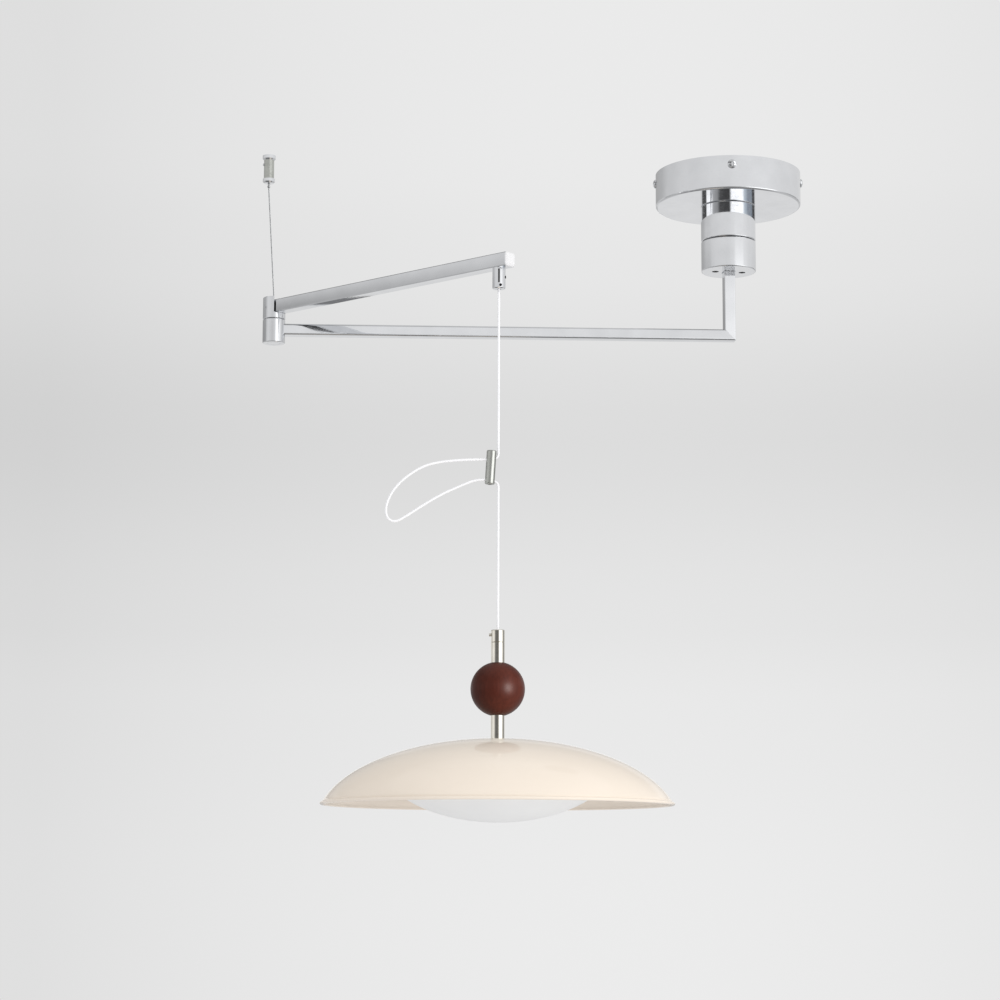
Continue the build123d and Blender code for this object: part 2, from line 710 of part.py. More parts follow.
with BuildPart() as anchor_cap:
    with Locations(anchor.offset(anchor_sleeve_end)):
        Cylinder(anchor_cap_radius, anchor_cap_height, align=hang)
    chamfer(anchor_cap.edges().group_by(Axis.Z)[0], anchor_edge)
    with Locations(anchor.offset(anchor_sleeve_end)):
        Cylinder(anchor_sleeve_bore, anchor_cap_spigot, align=stand)
    with Locations(anchor.offset(anchor_cap_end)):
        Cylinder(anchor_cap_hole, anchor_cap_radius * 2, align=stand, mode=Mode.SUBTRACT)
write(anchor_cap, "anchor_cap")

with BuildPart() as wire_tip:
    with Locations(anchor.offset(anchor_sleeve_end + anchor_cap_spigot)):
        Cylinder(wire_tip_head_radius, wire_tip_head_height, align=stand)
    with Locations(anchor.offset(wire_tip_end + wire_tip_ball_radius)):
        Cylinder(
            wire_tip_radius,
            anchor_sleeve_end + anchor_cap_spigot - wire_tip_end - wire_tip_ball_radius,
            align=stand,
        )
        Sphere(wire_tip_ball_radius)
write(wire_tip, "wire_tip")

# Stay wire, from the tip in the anchor to the stop inside the upper tube, on the elbow's axis
with BuildPart() as stay_wire:
    with BuildLine() as wire_line:
        Line(wire_foot, wire_head)
    with BuildSketch(wire_plane):
        Circle(wire_radius)
    sweep(path=wire_line.wires()[0])
write(stay_wire, "stay_wire")

with BuildPart() as wire_stop:
    with Locations(wire_plane):
        Cylinder(wire_stop_radius, wire_stop_length, align=stand)
        Cylinder(wire_radius, wire_stop_length, align=stand, mode=Mode.SUBTRACT)
write(wire_stop, "wire_stop")

# Cord: down from the grip, through the adjuster into the loop, back through it and down to the stem
upper_points = [
    (pendant_x, pendant_y, cord_top),
    (pendant_x, pendant_y, adjuster_hole_upper),
    (loop_start, pendant_y, adjuster_hole_upper),
]
lower_points = [
    (loop_end, pendant_y, adjuster_hole_lower),
    (pendant_x, pendant_y, adjuster_hole_lower),
    (pendant_x, pendant_y, stem_top - cord_cap_depth),
]
loop_points = [(loop_start, pendant_y, adjuster_hole_upper)]
loop_points += [(pendant_x + along, pendant_y, height) for along, height in loop_route]
loop_points += [(loop_end, pendant_y, adjuster_hole_lower)]
loop_radii = bend_radii(loop_points)
print("loop radii", [round(radius, 1) for radius in loop_radii])

with BuildPart() as cord_upper:
    with BuildLine() as upper_line:
        FilletPolyline(*upper_points, radius=cord_bend)
    with BuildSketch(Plane(origin=upper_line.line @ 0, z_dir=upper_line.line % 0)):
        Circle(cord_radius)
    sweep(path=upper_line.wires()[0])
write(cord_upper, "cord_upper")
report_cord(cord_upper, upper_line)

with BuildPart() as cord_loop:
    with BuildLine() as loop_line:
        FilletPolyline(*loop_points, radius=loop_radii)
    with BuildSketch(Plane(origin=loop_line.line @ 0, z_dir=loop_line.line % 0)):
        Circle(cord_radius)
    sweep(path=loop_line.wires()[0])
write(cord_loop, "cord_loop")
report_cord(cord_loop, loop_line)

with BuildPart() as cord_lower:
    with BuildLine() as lower_line:
        FilletPolyline(*lower_points, radius=cord_bend)
    with BuildSketch(Plane(origin=lower_line.line @ 0, z_dir=lower_line.line % 0)):
        Circle(cord_radius)
    sweep(path=lower_line.wires()[0])
write(cord_lower, "cord_lower")
report_cord(cord_lower, lower_line)

# Adjuster: a leaning barrel with two cross holes for the cord and a screw in each end
with BuildPart() as adjuster_barrel:
    with Locations(adjuster):
        Cylinder(adjuster_radius, adjuster_length)
    fillet(adjuster_barrel.edges().filter_by(GeomType.CIRCLE), adjuster_round)
    for height in (adjuster_hole_upper, adjuster_hole_lower):
        with Locations(pendant.offset(height)):
            Cylinder(cord_hole_radius, adjuster_length * 2, rotation=outward, mode=Mode.SUBTRACT)
    for end in adjuster_ends:
        with Locations(end):
            Cylinder(adjuster_screw_radius, adjuster_screw_depth, align=hang, mode=Mode.SUBTRACT)
write(adjuster_barrel, "adjuster_barrel")

with BuildPart() as adjuster_screws:
    for end in adjuster_ends:
        with Locations(end.offset(-adjuster_screw_recess)):
            Cylinder(adjuster_screw_radius, adjuster_screw_length, align=hang)
        with BuildSketch(end.offset(-adjuster_screw_recess)):
            RegularPolygon(adjuster_socket_radius, 6)
        extrude(amount=-adjuster_screw_length / 2, mode=Mode.SUBTRACT)
write(adjuster_screws, "adjuster_screws")

# Pendant stem: cap, threaded rod, two stems and the ball between them
with BuildPart() as stem_cap:
    with Locations(pendant.offset(stem_top)):
        Cylinder(stem_radius, stem_cap_length, align=hang)
    fillet(stem_cap.edges().group_by(Axis.Z)[-1], stem_cap_edge)
    chamfer(stem_cap.edges().group_by(Axis.Z)[0], stem_joint_edge)
    with Locations(pendant.offset(stem_top)):
        Cylinder(cord_radius, stem_cap_length, align=hang, mode=Mode.SUBTRACT)
    with Locations(pendant.offset(stem_cap_bottom)):
        Cylinder(rod_radius, cap_thread_depth, align=stand, mode=Mode.SUBTRACT)
    with Locations(pendant.offset(cap_screw_z)):
        Cylinder(cap_screw_radius, 2 * stem_radius, rotation=inward, align=stand, mode=Mode.SUBTRACT)
write(stem_cap, "stem_cap")

with BuildPart() as cap_screw:
    with Locations(pendant.offset(cap_screw_z)):
        Cylinder(cap_screw_radius, stem_radius + cap_screw_proud, rotation=inward, align=stand)
    with Locations(pendant.offset(stem_top)):
        Cylinder(cord_radius, stem_cap_length, align=hang, mode=Mode.SUBTRACT)
write(cap_screw, "cap_screw")

with BuildPart() as threaded_rod:
    with Locations(pendant.offset(stem_cap_bottom + cap_thread_depth)):
        Cylinder(rod_radius, stem_cap_bottom + cap_thread_depth - rod_end, align=hang)
        Cylinder(rod_bore, stem_cap_bottom + cap_thread_depth - rod_end, align=hang, mode=Mode.SUBTRACT)
write(threaded_rod, "threaded_rod")

with BuildPart() as stem_upper:
    with Locations(pendant.offset(stem_cap_bottom)):
        Cylinder(stem_radius, stem_cap_bottom - stem_upper_bottom, align=hang)
    chamfer(stem_upper.edges().group_by(Axis.Z)[-1], stem_joint_edge)
    with Locations(pendant.offset(stem_cap_bottom)):
        Cylinder(rod_hole_radius, stem_cap_bottom - stem_upper_bottom, align=hang, mode=Mode.SUBTRACT)
write(stem_upper, "stem_upper")

with BuildPart() as ball:
    with Locations(pendant.offset(ball_centre_z)):
        Sphere(ball_radius)
        Cylinder(ball_radius, 2 * ball_flat, mode=Mode.INTERSECT)
        Cylinder(rod_hole_radius, 2 * ball_radius, mode=Mode.SUBTRACT)
write(ball, "ball")

with BuildPart() as stem_lower:
    with Locations(pendant.offset(stem_lower_top)):
        Cylinder(stem_radius, stem_lower_top - shade_top, align=hang)
        Cylinder(rod_hole_radius, stem_lower_top - shade_top, align=hang, mode=Mode.SUBTRACT)
write(stem_lower, "stem_lower")

# Shade: a shallow elliptical dome with a rolled rim
with BuildPart() as shade:
    with BuildSketch(pendant_side):
        with Locations((0, shade_ellipse_z)):
            Ellipse(shade_ellipse_radius, shade_ellipse_height)
            Ellipse(
                shade_ellipse_radius - shade_wall, shade_ellipse_height - shade_wall, mode=Mode.SUBTRACT
            )
        with Locations((rod_hole_radius, shade_rim)):
            Rectangle(
                shade_radius, shade_height, align=(Align.MIN, Align.MIN), mode=Mode.INTERSECT
            )
        with Locations((shade_bead_ring, shade_rim + shade_bead_rise)):
            Circle(shade_bead_radius)
    revolve(axis=pendant_axis)
write(shade, "shade")

with BuildPart() as shade_washer:
    with Locations(pendant.offset(shade_washer_top)):
        Cylinder(shade_washer_radius, shade_washer_thickness, align=hang)
        Cylinder(rod_radius, shade_washer_thickness, align=hang, mode=Mode.SUBTRACT)
write(shade_washer, "shade_washer")

with BuildPart() as rod_nuts:
    for nut_top in (shade_washer_top - shade_washer_thickness, pan_top + nut_height, pan_top - pan_plate):
        with BuildSketch(pendant.offset(nut_top)):
            RegularPolygon(rod_nut_radius, 6)
            Circle(rod_radius, mode=Mode.SUBTRACT)
        extrude(amount=-nut_height)
write(rod_nuts, "rod_nuts")

# Lamp pan: the spun dish that carries the light board and the diffuser
with BuildPart() as lamp_pan:
    with Locations(pendant.offset(pan_top)):
        Cylinder(pan_radius, pan_top - pan_bottom, align=hang)
    fillet(lamp_pan.edges().group_by(Axis.Z)[-1], pan_round)
    with Locations(pendant.offset(pan_bottom)):
        Cylinder(pan_radius - pan_wall, pan_top - pan_plate - pan_bottom, align=stand, mode=Mode.SUBTRACT)
    with Locations(pendant.offset(pan_top)):
        Cylinder(rod_radius, pan_plate, align=hang, mode=Mode.SUBTRACT)
    with Locations(pendant.offset(diffuser_screw_z)):
        with PolarLocations(pan_radius, diffuser_screw_count):
            Cylinder(diffuser_screw_radius, 4 * pan_wall, rotation=outward, mode=Mode.SUBTRACT)
write(lamp_pan, "lamp_pan")

with BuildPart() as led_board:
    with Locations(pendant.offset(pan_top - pan_plate)):
        Cylinder(led_board_radius, led_board_thickness, align=hang)
        Cylinder(led_board_bore, led_board_thickness, align=hang, mode=Mode.SUBTRACT)
write(led_board, "led_board")

with BuildPart() as led_chips:
    with Locations(pendant.offset(pan_top - pan_plate - led_board_thickness)):
        with PolarLocations(led_chip_ring, led_chip_count):
            Box(*led_chip_size, align=hang)
write(led_chips, "led_chips")

# Diffuser: an opal dome with an upright lip inside the pan's wall
with BuildPart() as diffuser:
    with BuildSketch(pendant_side):
        with BuildLine():
            outer = TangentArc((0, diffuser_low), (diffuser_radius, pan_bottom), tangent=(1, 0))
            lip = Polyline(
                outer @ 1,
                (diffuser_radius, pan_bottom + diffuser_lip),
                (diffuser_radius - diffuser_wall, pan_bottom + diffuser_lip),
                (diffuser_radius - diffuser_wall, pan_bottom + diffuser_wall),
            )
            inner = TangentArc((0, diffuser_low + diffuser_wall), lip @ 1, tangent=(1, 0))
            Line(inner @ 0, outer @ 0)
        make_face()
    revolve(axis=pendant_axis)
    with Locations(pendant.offset(diffuser_screw_z)):
        with PolarLocations(diffuser_radius, diffuser_screw_count):
            Cylinder(diffuser_screw_radius, 4 * diffuser_wall, rotation=outward, mode=Mode.SUBTRACT)
write(diffuser, "diffuser")

with BuildPart() as diffuser_screws:
    with Locations(pendant.offset(diffuser_screw_z)):
        with PolarLocations(pan_radius, diffuser_screw_count):
            Cylinder(diffuser_head_radius, diffuser_head_height, rotation=outward, align=stand)
            Cylinder(diffuser_screw_radius, diffuser_screw_length, rotation=outward, align=hang)
write(diffuser_screws, "diffuser_screws")
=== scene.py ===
import math

import bpy
from mathutils import Euler, Matrix, Vector


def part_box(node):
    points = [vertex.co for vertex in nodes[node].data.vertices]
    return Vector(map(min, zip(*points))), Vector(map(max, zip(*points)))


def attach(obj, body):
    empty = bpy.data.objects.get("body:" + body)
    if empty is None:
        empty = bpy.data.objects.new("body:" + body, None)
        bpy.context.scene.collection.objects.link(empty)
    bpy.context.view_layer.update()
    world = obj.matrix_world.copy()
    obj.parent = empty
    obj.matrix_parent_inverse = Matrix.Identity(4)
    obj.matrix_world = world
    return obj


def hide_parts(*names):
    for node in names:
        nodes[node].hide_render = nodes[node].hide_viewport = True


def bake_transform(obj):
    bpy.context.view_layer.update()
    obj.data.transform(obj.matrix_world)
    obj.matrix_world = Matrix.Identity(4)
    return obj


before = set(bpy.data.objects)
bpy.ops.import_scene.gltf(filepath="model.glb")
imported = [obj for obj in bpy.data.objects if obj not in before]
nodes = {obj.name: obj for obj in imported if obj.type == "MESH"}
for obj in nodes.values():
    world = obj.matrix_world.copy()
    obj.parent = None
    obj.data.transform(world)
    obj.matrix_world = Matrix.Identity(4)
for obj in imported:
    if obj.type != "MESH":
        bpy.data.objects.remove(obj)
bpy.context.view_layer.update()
mm = 0.001
print("frame loaded:", len(nodes), "nodes")


# Small helpers for node trees
def newMaterial(name):
    material = bpy.data.materials.new(name)
    material.use_nodes = True
    tree = material.node_tree
    return material, tree, tree.nodes["Principled BSDF"].inputs


def addNode(tree, kind, inputs=None, **settings):
    node = tree.nodes.new(kind)
    for key, value in settings.items():
        setattr(node, key, value)
    # a list is for a socket that takes several links
    for key, value in (inputs or {}).items():
        for source in value if isinstance(value, list) else [value]:
            if isinstance(source, bpy.types.NodeSocket):
                tree.links.new(source, node.inputs[key])
            else:
                node.inputs[key].default_value = source
    return node


def math2(tree, operation, first, second=0.0):
    return addNode(tree, "ShaderNodeMath", {0: first, 1: second}, operation=operation).outputs[0]


def noiseOn(tree, scale, detail, stretch=(1, 1, 1), rough=0.5):
    place = addNode(tree, "ShaderNodeTexCoord")
    turn = addNode(tree, "ShaderNodeMapping", {"Vector": place.outputs["Object"], "Scale": stretch})
    noise = addNode(
        tree,
        "ShaderNodeTexNoise",
        {"Vector": turn.outputs["Vector"], "Scale": scale, "Detail": detail, "Roughness": rough},
    )
    return noise.outputs["Fac"]


def spread(tree, source, low, high, fromLow=0.3, fromHigh=0.7):
    span = addNode(
        tree,
        "ShaderNodeMapRange",
        {"Value": source, "From Min": fromLow, "From Max": fromHigh, "To Min": low, "To Max": high},
    )
    return span.outputs["Result"]


def mixTone(tree, share, first, second, blend="MIX"):
    # in a colour mix the two colours are sockets 6 and 7 and the result is output 2
    tones = {0: share, 6: first, 7: second}
    return addNode(tree, "ShaderNodeMix", tones, data_type="RGBA", blend_type=blend).outputs[2]


def twoTone(tree, noise, dark, light):
    return mixTone(tree, spread(tree, noise, 0, 1), (*dark, 1), (*light, 1))


def bumpFrom(tree, source, surface, strength, distance):
    bump = addNode(tree, "ShaderNodeBump", {"Strength": strength, "Distance": distance, "Height": source})
    tree.links.new(bump.outputs["Normal"], surface["Normal"])


def platedMetal(name, finish):
    material, tree, surface = newMaterial(name)
    surface["Metallic"].default_value = 1.0
    haze = noiseOn(tree, finish["hazeScale"], detail=4.0)
    tree.links.new(twoTone(tree, haze, finish["dark"], finish["light"]), surface["Base Color"])
    grain = noiseOn(tree, finish["grainScale"], detail=3.0, stretch=finish["grainStretch"])
    rough = spread(tree, grain, finish["roughLow"], finish["roughHigh"])
    tree.links.new(rough, surface["Roughness"])
    bumpFrom(tree, grain, surface, strength=finish["relief"], distance=0.02 * mm)
    return material


# Finishes
chromeFinish = {
    "dark": (0.74, 0.75, 0.77),
    "light": (0.80, 0.81, 0.83),
    "hazeScale": 40.0,
    "grainScale": 90.0,
    "grainStretch": (1, 1, 1),
    "roughLow": 0.04,
    "roughHigh": 0.08,
    "relief": 0.05,
}
stemFinish = {
    "dark": (0.70, 0.67, 0.60),
    "light": (0.78, 0.75, 0.68),
    "hazeScale": 120.0,
    "grainScale": 260.0,
    "grainStretch": (1, 1, 9),
    "roughLow": 0.07,
    "roughHigh": 0.12,
    "relief": 0.06,
}
satinFinish = {
    "dark": (0.46, 0.47, 0.44),
    "light": (0.54, 0.55, 0.52),
    "hazeScale": 120.0,
    "grainScale": 260.0,
    "grainStretch": (1, 1, 9),
    "roughLow": 0.13,
    "roughHigh": 0.2,
    "relief": 0.12,
}
oxideFinish = {
    "dark": (0.012, 0.012, 0.013),
    "light": (0.03, 0.03, 0.032),
    "hazeScale": 200.0,
    "grainScale": 400.0,
    "grainStretch": (1, 1, 1),
    "roughLow": 0.3,
    "roughHigh": 0.45,
    "relief": 0.2,
}
steelFinish = {
    "dark": (0.52, 0.53, 0.54),
    "light": (0.64, 0.65, 0.66),
    "hazeScale": 150.0,
    "grainScale": 300.0,
    "grainStretch": (1, 1, 6),
    "roughLow": 0.22,
    "roughHigh": 0.34,
    "relief": 0.2,
}
chrome = platedMetal("polishedChrome", chromeFinish)
stemNickel = platedMetal("warmNickel", stemFinish)
satinNickel = platedMetal("satinNickel", satinFinish)
blackOxide = platedMetal("blackOxide", oxideFinish)
steel = platedMetal("zincSteel", steelFinish)

woodFinish = {
    "dark": (0.034, 0.0068, 0.0038),
    "light": (0.078, 0.0168, 0.0094),
    "figureScale": 26.0,
    "figureStretch": (1, 1, 0.16),
    "roughLow": 0.36,
    "roughHigh": 0.44,
    "specular": 0.17,
    "poreScale": 520.0,
    "poreStretch": (1, 1, 0.05),
    "poreDark": 0.82,
    "poreSpan": (0.36, 0.56),
    "poreRelief": 0.25,
    "poreDepth": 0.08 * mm,
}
enamelSkin = {"cloud": 9.0, "grain": 330.0, "relief": 0.05, "depth": 0.03 * mm, "specular": 0.24}
plasticSkin = {"cloud": 30.0, "grain": 900.0, "relief": 0.04, "depth": 0.01 * mm, "specular": 0.5}
opalSkin = {**plasticSkin, "relief": 0.0}
caseSkin = {**plasticSkin, "specular": 0.2}


def lacqueredWood(name, finish):
    material, tree, surface = newMaterial(name)
    figure = noiseOn(tree, finish["figureScale"], detail=5.0, stretch=finish["figureStretch"], rough=0.6)
    pores = noiseOn(tree, finish["poreScale"], detail=3.0, stretch=finish["poreStretch"], rough=0.6)
    base = twoTone(tree, figure, finish["dark"], finish["light"])
    poreTone = spread(tree, pores, finish["poreDark"], 1.0, *finish["poreSpan"])
    tree.links.new(mixTone(tree, 1.0, base, poreTone, "MULTIPLY"), surface["Base Color"])
    rough = spread(tree, figure, finish["roughLow"], finish["roughHigh"])
    tree.links.new(rough, surface["Roughness"])
    surface["Specular IOR Level"].default_value = finish["specular"]
    bumpFrom(tree, pores, surface, finish["poreRelief"], finish["poreDepth"])
    return material


def coated(name, skin, dark, light, roughLow, roughHigh):
    material, tree, surface = newMaterial(name)
    surface["Specular IOR Level"].default_value = skin["specular"]
    cloud = noiseOn(tree, skin["cloud"], detail=3.0)
    tree.links.new(twoTone(tree, cloud, dark, light), surface["Base Color"])
    grain = noiseOn(tree, skin["grain"], detail=2.0)
    tree.links.new(spread(tree, grain, roughLow, roughHigh), surface["Roughness"])
    bumpFrom(tree, grain, surface, skin["relief"], skin["depth"])
    return material


wood = lacqueredWood("darkStainedWood", woodFinish)
cream = coated("creamEnamel", enamelSkin, (0.80, 0.715, 0.62), (0.83, 0.745, 0.65), 0.05, 0.08)
whiteEnamel = coated("whiteEnamel", enamelSkin, (0.82, 0.82, 0.81), (0.86, 0.86, 0.85), 0.25, 0.35)
opal = coated("opalAcrylic", opalSkin, (0.84, 0.84, 0.83), (0.86, 0.86, 0.85), 0.5, 0.52)
cordSkin = coated("whiteCordSkin", plasticSkin, (0.90, 0.90, 0.92), (0.94, 0.94, 0.96), 0.35, 0.45)
casePlastic = coated("whiteCasePlastic", caseSkin, (0.77, 0.77, 0.78), (0.80, 0.80, 0.81), 0.5, 0.6)
fibre = coated("blackFibre", plasticSkin, (0.030, 0.030, 0.031), (0.055, 0.054, 0.053), 0.6, 0.75)
chipYellow = coated("chipPhosphor", plasticSkin, (0.80, 0.62, 0.16), (0.86, 0.70, 0.22), 0.35, 0.5)

bySlot = {
    "chrome_plate": chrome,
    "warm_nickel": stemNickel,
    "bright_steel": steel,
    "white_case": casePlastic,
    "fibre": fibre,
    "white_cord": cordSkin,
    "dark_wood": wood,
    "cream_enamel": cream,
    "white_enamel": whiteEnamel,
    "chip_yellow": chipYellow,
    "opal": opal,
}
byNode = {
    "adjuster_barrel": satinNickel,
    "adjuster_screws": satinNickel,
    "anchor_sleeve": satinNickel,
    "plate_screws": blackOxide,
    "grip_screws": blackOxide,
}
for label, node in nodes.items():
    for slot in node.material_slots:
        slot.material = byNode.get(label, bySlot[slot.material.name.split(".")[0]])
print("finishes set:", len(bySlot))


# Geometry Nodes helpers
socketKinds = {int: "NodeSocketInt", float: "NodeSocketFloat", tuple: "NodeSocketVector"}
sharpAngle = math.radians(35)


def newTree(name, inputs):
    tree = bpy.data.node_groups.new(name, "GeometryNodeTree")
    tree.interface.new_socket("Geometry", in_out="INPUT", socket_type="NodeSocketGeometry")
    for label, value in inputs.items():
        socket = tree.interface.new_socket(label, in_out="INPUT", socket_type=socketKinds[type(value)])
        socket.default_value = value
    tree.interface.new_socket("Material", in_out="INPUT", socket_type="NodeSocketMaterial")
    tree.interface.new_socket("Geometry", in_out="OUTPUT", socket_type="NodeSocketGeometry")
    return tree, addNode(tree, "NodeGroupInput").outputs


def finishTree(tree, source, material):
    realize = addNode(tree, "GeometryNodeRealizeInstances", {0: source})
    paint = addNode(tree, "GeometryNodeSetMaterial", {"Geometry": realize.outputs[0], "Material": material})
    addNode(tree, "NodeGroupOutput", {"Geometry": paint.outputs[0]})
    return tree


def bakeTree(source, tree, values, name):
    modifier = source.modifiers.new(tree.name, "NODES")
    modifier.node_group = tree
    for item in tree.interface.items_tree:
        if item.item_type == "SOCKET" and item.in_out == "INPUT" and item.name in values:
            modifier[item.identifier] = values[item.name]
    graph = bpy.context.evaluated_depsgraph_get()
    mesh = bpy.data.meshes.new_from_object(source.evaluated_get(graph), depsgraph=graph)
    source.modifiers.remove(modifier)
    bpy.data.objects.remove(source)
    mesh.name = name
    mesh.shade_smooth()
    mesh.set_sharp_from_angle(angle=sharpAngle)
    piece = bpy.data.objects.new(name, mesh)
    bpy.context.scene.collection.objects.link(piece)
    return piece


def treePiece(name, tree, values):
    carrier = bpy.data.objects.new(name + "Carrier", bpy.data.meshes.new(name + "Carrier"))
    bpy.context.scene.collection.objects.link(carrier)
    return bakeTree(carrier, tree, values, name)


def vectorOf(tree, x=0.0, y=0.0, z=0.0):
    return addNode(tree, "ShaderNodeCombineXYZ", {"X": x, "Y": y, "Z": z}).outputs[0]


def pickIf(tree, test, yes, no):
    sockets = {"Switch": test, "False": no, "True": yes}
    return addNode(tree, "GeometryNodeSwitch", sockets, input_type="VECTOR").outputs[0]


def moved(tree, geometry, **places):
    return addNode(tree, "GeometryNodeTransform", {"Geometry": geometry, **places}).outputs[0]


def reshaped(tree, geometry, **places):
    return addNode(tree, "GeometryNodeSetPosition", {"Geometry": geometry, **places}).outputs[0]


def resampled(tree, curve, step):
    sockets = {"Curve": curve, "Length": step}
    return addNode(tree, "GeometryNodeResampleCurve", sockets, mode="LENGTH").outputs[0]


def ringOf(tree, sides, radius):
    sockets = {"Resolution": sides, "Radius": radius}
    return addNode(tree, "GeometryNodeCurvePrimitiveCircle", sockets).outputs["Curve"]


def lineOf(tree, start, end):
    return addNode(tree, "GeometryNodeCurvePrimitiveLine", {"Start": start, "End": end}).outputs["Curve"]


def swept(tree, curve, profile, capped=True, **more):
    sockets = {"Curve": curve, "Profile Curve": profile, "Fill Caps": capped, **more}
    return addNode(tree, "GeometryNodeCurveToMesh", sockets).outputs[0]


def cylinderOf(tree, sides, radius, depth, rings=1, fill="NGON"):
    sockets = {"Vertices": sides, "Radius": radius, "Depth": depth, "Fill Segments": rings}
    return addNode(tree, "GeometryNodeMeshCylinder", sockets, fill_type=fill).outputs["Mesh"]


def cutFrom(tree, body, tools):
    sockets = {"Mesh 1": body, "Mesh 2": tools}
    cut = addNode(tree, "GeometryNodeMeshBoolean", sockets, operation="DIFFERENCE", solver="EXACT")
    return cut.outputs["Mesh"]


def joined(tree, parts):
    return addNode(tree, "GeometryNodeJoinGeometry", {0: parts}).outputs[0]


# Cords: a twin core twisted under a thin sheath, so the section is slightly oval and turns
def cordSheathTree():
    tree, size = newTree(
        "cordSheath",
        {"Radius": 1.2 * mm, "Oval": 0.05, "Twist Pitch": 15 * mm, "Step": 0.9 * mm, "Sides": 14},
    )
    route = resampled(tree, size["Geometry"], size["Step"])
    along = addNode(tree, "GeometryNodeSplineParameter")
    turns = math2(tree, "DIVIDE", along.outputs["Length"], size["Twist Pitch"])
    angle = math2(tree, "MULTIPLY", turns, math.tau)
    twisted = addNode(tree, "GeometryNodeSetCurveTilt", {"Curve": route, "Tilt": angle})
    wide = math2(tree, "ADD", 1.0, size["Oval"])
    narrow = math2(tree, "SUBTRACT", 1.0, size["Oval"])
    ring = ringOf(tree, size["Sides"], size["Radius"])
    oval = moved(tree, ring, Scale=vectorOf(tree, wide, narrow, 1.0))
    return finishTree(tree, swept(tree, twisted.outputs[0], oval), size["Material"])


def routeCurve(name, points):
    curve = bpy.data.curves.new(name, "CURVE")
    curve.dimensions = "3D"
    curve.resolution_u = 16
    spline = curve.splines.new("NURBS")
    spline.points.add(len(points) - 1)
    for point, place in zip(spline.points, points):
        point.co = (*place, 1)
    spline.order_u = 3
    spline.use_endpoint_u = True
    route = bpy.data.objects.new(name, curve)
    bpy.context.scene.collection.objects.link(route)
    return route


def routeLine(route):
    graph = bpy.context.evaluated_depsgraph_get()
    mesh = bpy.data.meshes.new_from_object(route.evaluated_get(graph), depsgraph=graph)
    line = [vertex.co.copy() for vertex in mesh.vertices]
    bpy.data.meshes.remove(mesh)
    return line


pendantX = -290.06 * mm
pendantY = -241.51 * mm
cordFacts = {
    "diameter": 2.4 * mm,
    "pitch": 15 * mm,
    "oval": 0.02,
    # points beside the pendant's axis and heights, in millimetres
    "loopBelly": (-104, -414),
    "lowerFrom": (0, -402),
    "lowerTo": (0, -536),
    "tail": [(0, -172.0), (0, -180.0), (0, -188.0), (0, -194.8)],
    "upper": [(0, -195.2), (0, -355.96), (0, -368.0), (-12.04, -368.0)],
    "lower": [(-13.26, -387.9), (0, -387.9), (0, -401.16), (0, -543.8)],
    "loop": [
        (-12.04, -368.0),
        (-22.0, -368.0),
        (-40.0, -369.2),
        (-57.5, -371.3),
        (-74.5, -375.8),
        (-91.5, -387.2),
        (-102.8, -399.0),
        (-109.4, -411.5),
        (-111.0, -421.5),
        (-108.8, -429.2),
        (-101.5, -432.0),
        (-92.5, -427.0),
        (-75.5, -415.5),
        (-55.5, -403.0),
        (-36.5, -394.3),
        (-22.0, -387.9),
        (-13.26, -387.9),
    ],
}
sheathTree = cordSheathTree()


def besideAxis(spot):
    return (pendantX + spot[0] * mm, pendantY, spot[1] * mm)


def cordPiece(name, run):
    route = routeCurve(name + "Route", [besideAxis(spot) for spot in cordFacts[run]])
    line = routeLine(route)
    values = {
        "Radius": cordFacts["diameter"] / 2,
        "Oval": cordFacts["oval"],
        "Twist Pitch": cordFacts["pitch"],
        "Material": cordSkin,
    }
    piece = bakeTree(route, sheathTree, values, name)
    return piece, line


def lineLength(line):
    return sum((after - before).length for before, after in zip(line, line[1:]))


cordUpper, upperLine = cordPiece("cordUpper", "upper")
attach(cordUpper, "adjuster")
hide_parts("cord_upper")
cordLoop, loopLine = cordPiece("cordLoop", "loop")
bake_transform(cordLoop)
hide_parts("cord_loop")
cordLower, lowerLine = cordPiece("cordLower", "lower")
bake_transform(cordLower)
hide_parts("cord_lower")
cordTail = cordPiece("cordTail", "tail")[0]
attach(cordTail, "upper_arm")
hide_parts("cord_tail")
for label, line in (("upper", upperLine), ("loop", loopLine), ("lower", lowerLine)):
    print("cord", label, round(lineLength(line) / mm, 1), "mm")


# Stay wire: six strands laid round a core
def strandTree():
    tree, size = newTree(
        "laidStrands",
        {"Strands": 6, "Strand Radius": 0.2 * mm, "Lay": 7 * mm, "Step": 0.5 * mm, "Sides": 8},
    )
    core = resampled(tree, size["Geometry"], size["Step"])
    copies = addNode(
        tree,
        "GeometryNodeDuplicateElements",
        {"Geometry": core, "Amount": size["Strands"]},
        domain="SPLINE",
    )
    along = addNode(tree, "GeometryNodeSplineParameter")
    turn = math2(tree, "DIVIDE", along.outputs["Length"], size["Lay"])
    share = math2(tree, "DIVIDE", copies.outputs["Duplicate Index"], size["Strands"])
    angle = math2(tree, "MULTIPLY", math2(tree, "ADD", turn, share), math.tau)
    reach = math2(tree, "MULTIPLY", size["Strand Radius"], 2.0)
    across = math2(tree, "MULTIPLY", math2(tree, "COSINE", angle), reach)
    beside = math2(tree, "MULTIPLY", math2(tree, "SINE", angle), reach)
    strands = reshaped(tree, copies.outputs["Geometry"], Offset=vectorOf(tree, across, beside))
    ring = ringOf(tree, size["Sides"], size["Strand Radius"])
    return finishTree(tree, swept(tree, joined(tree, [strands, core]), ring), size["Material"])


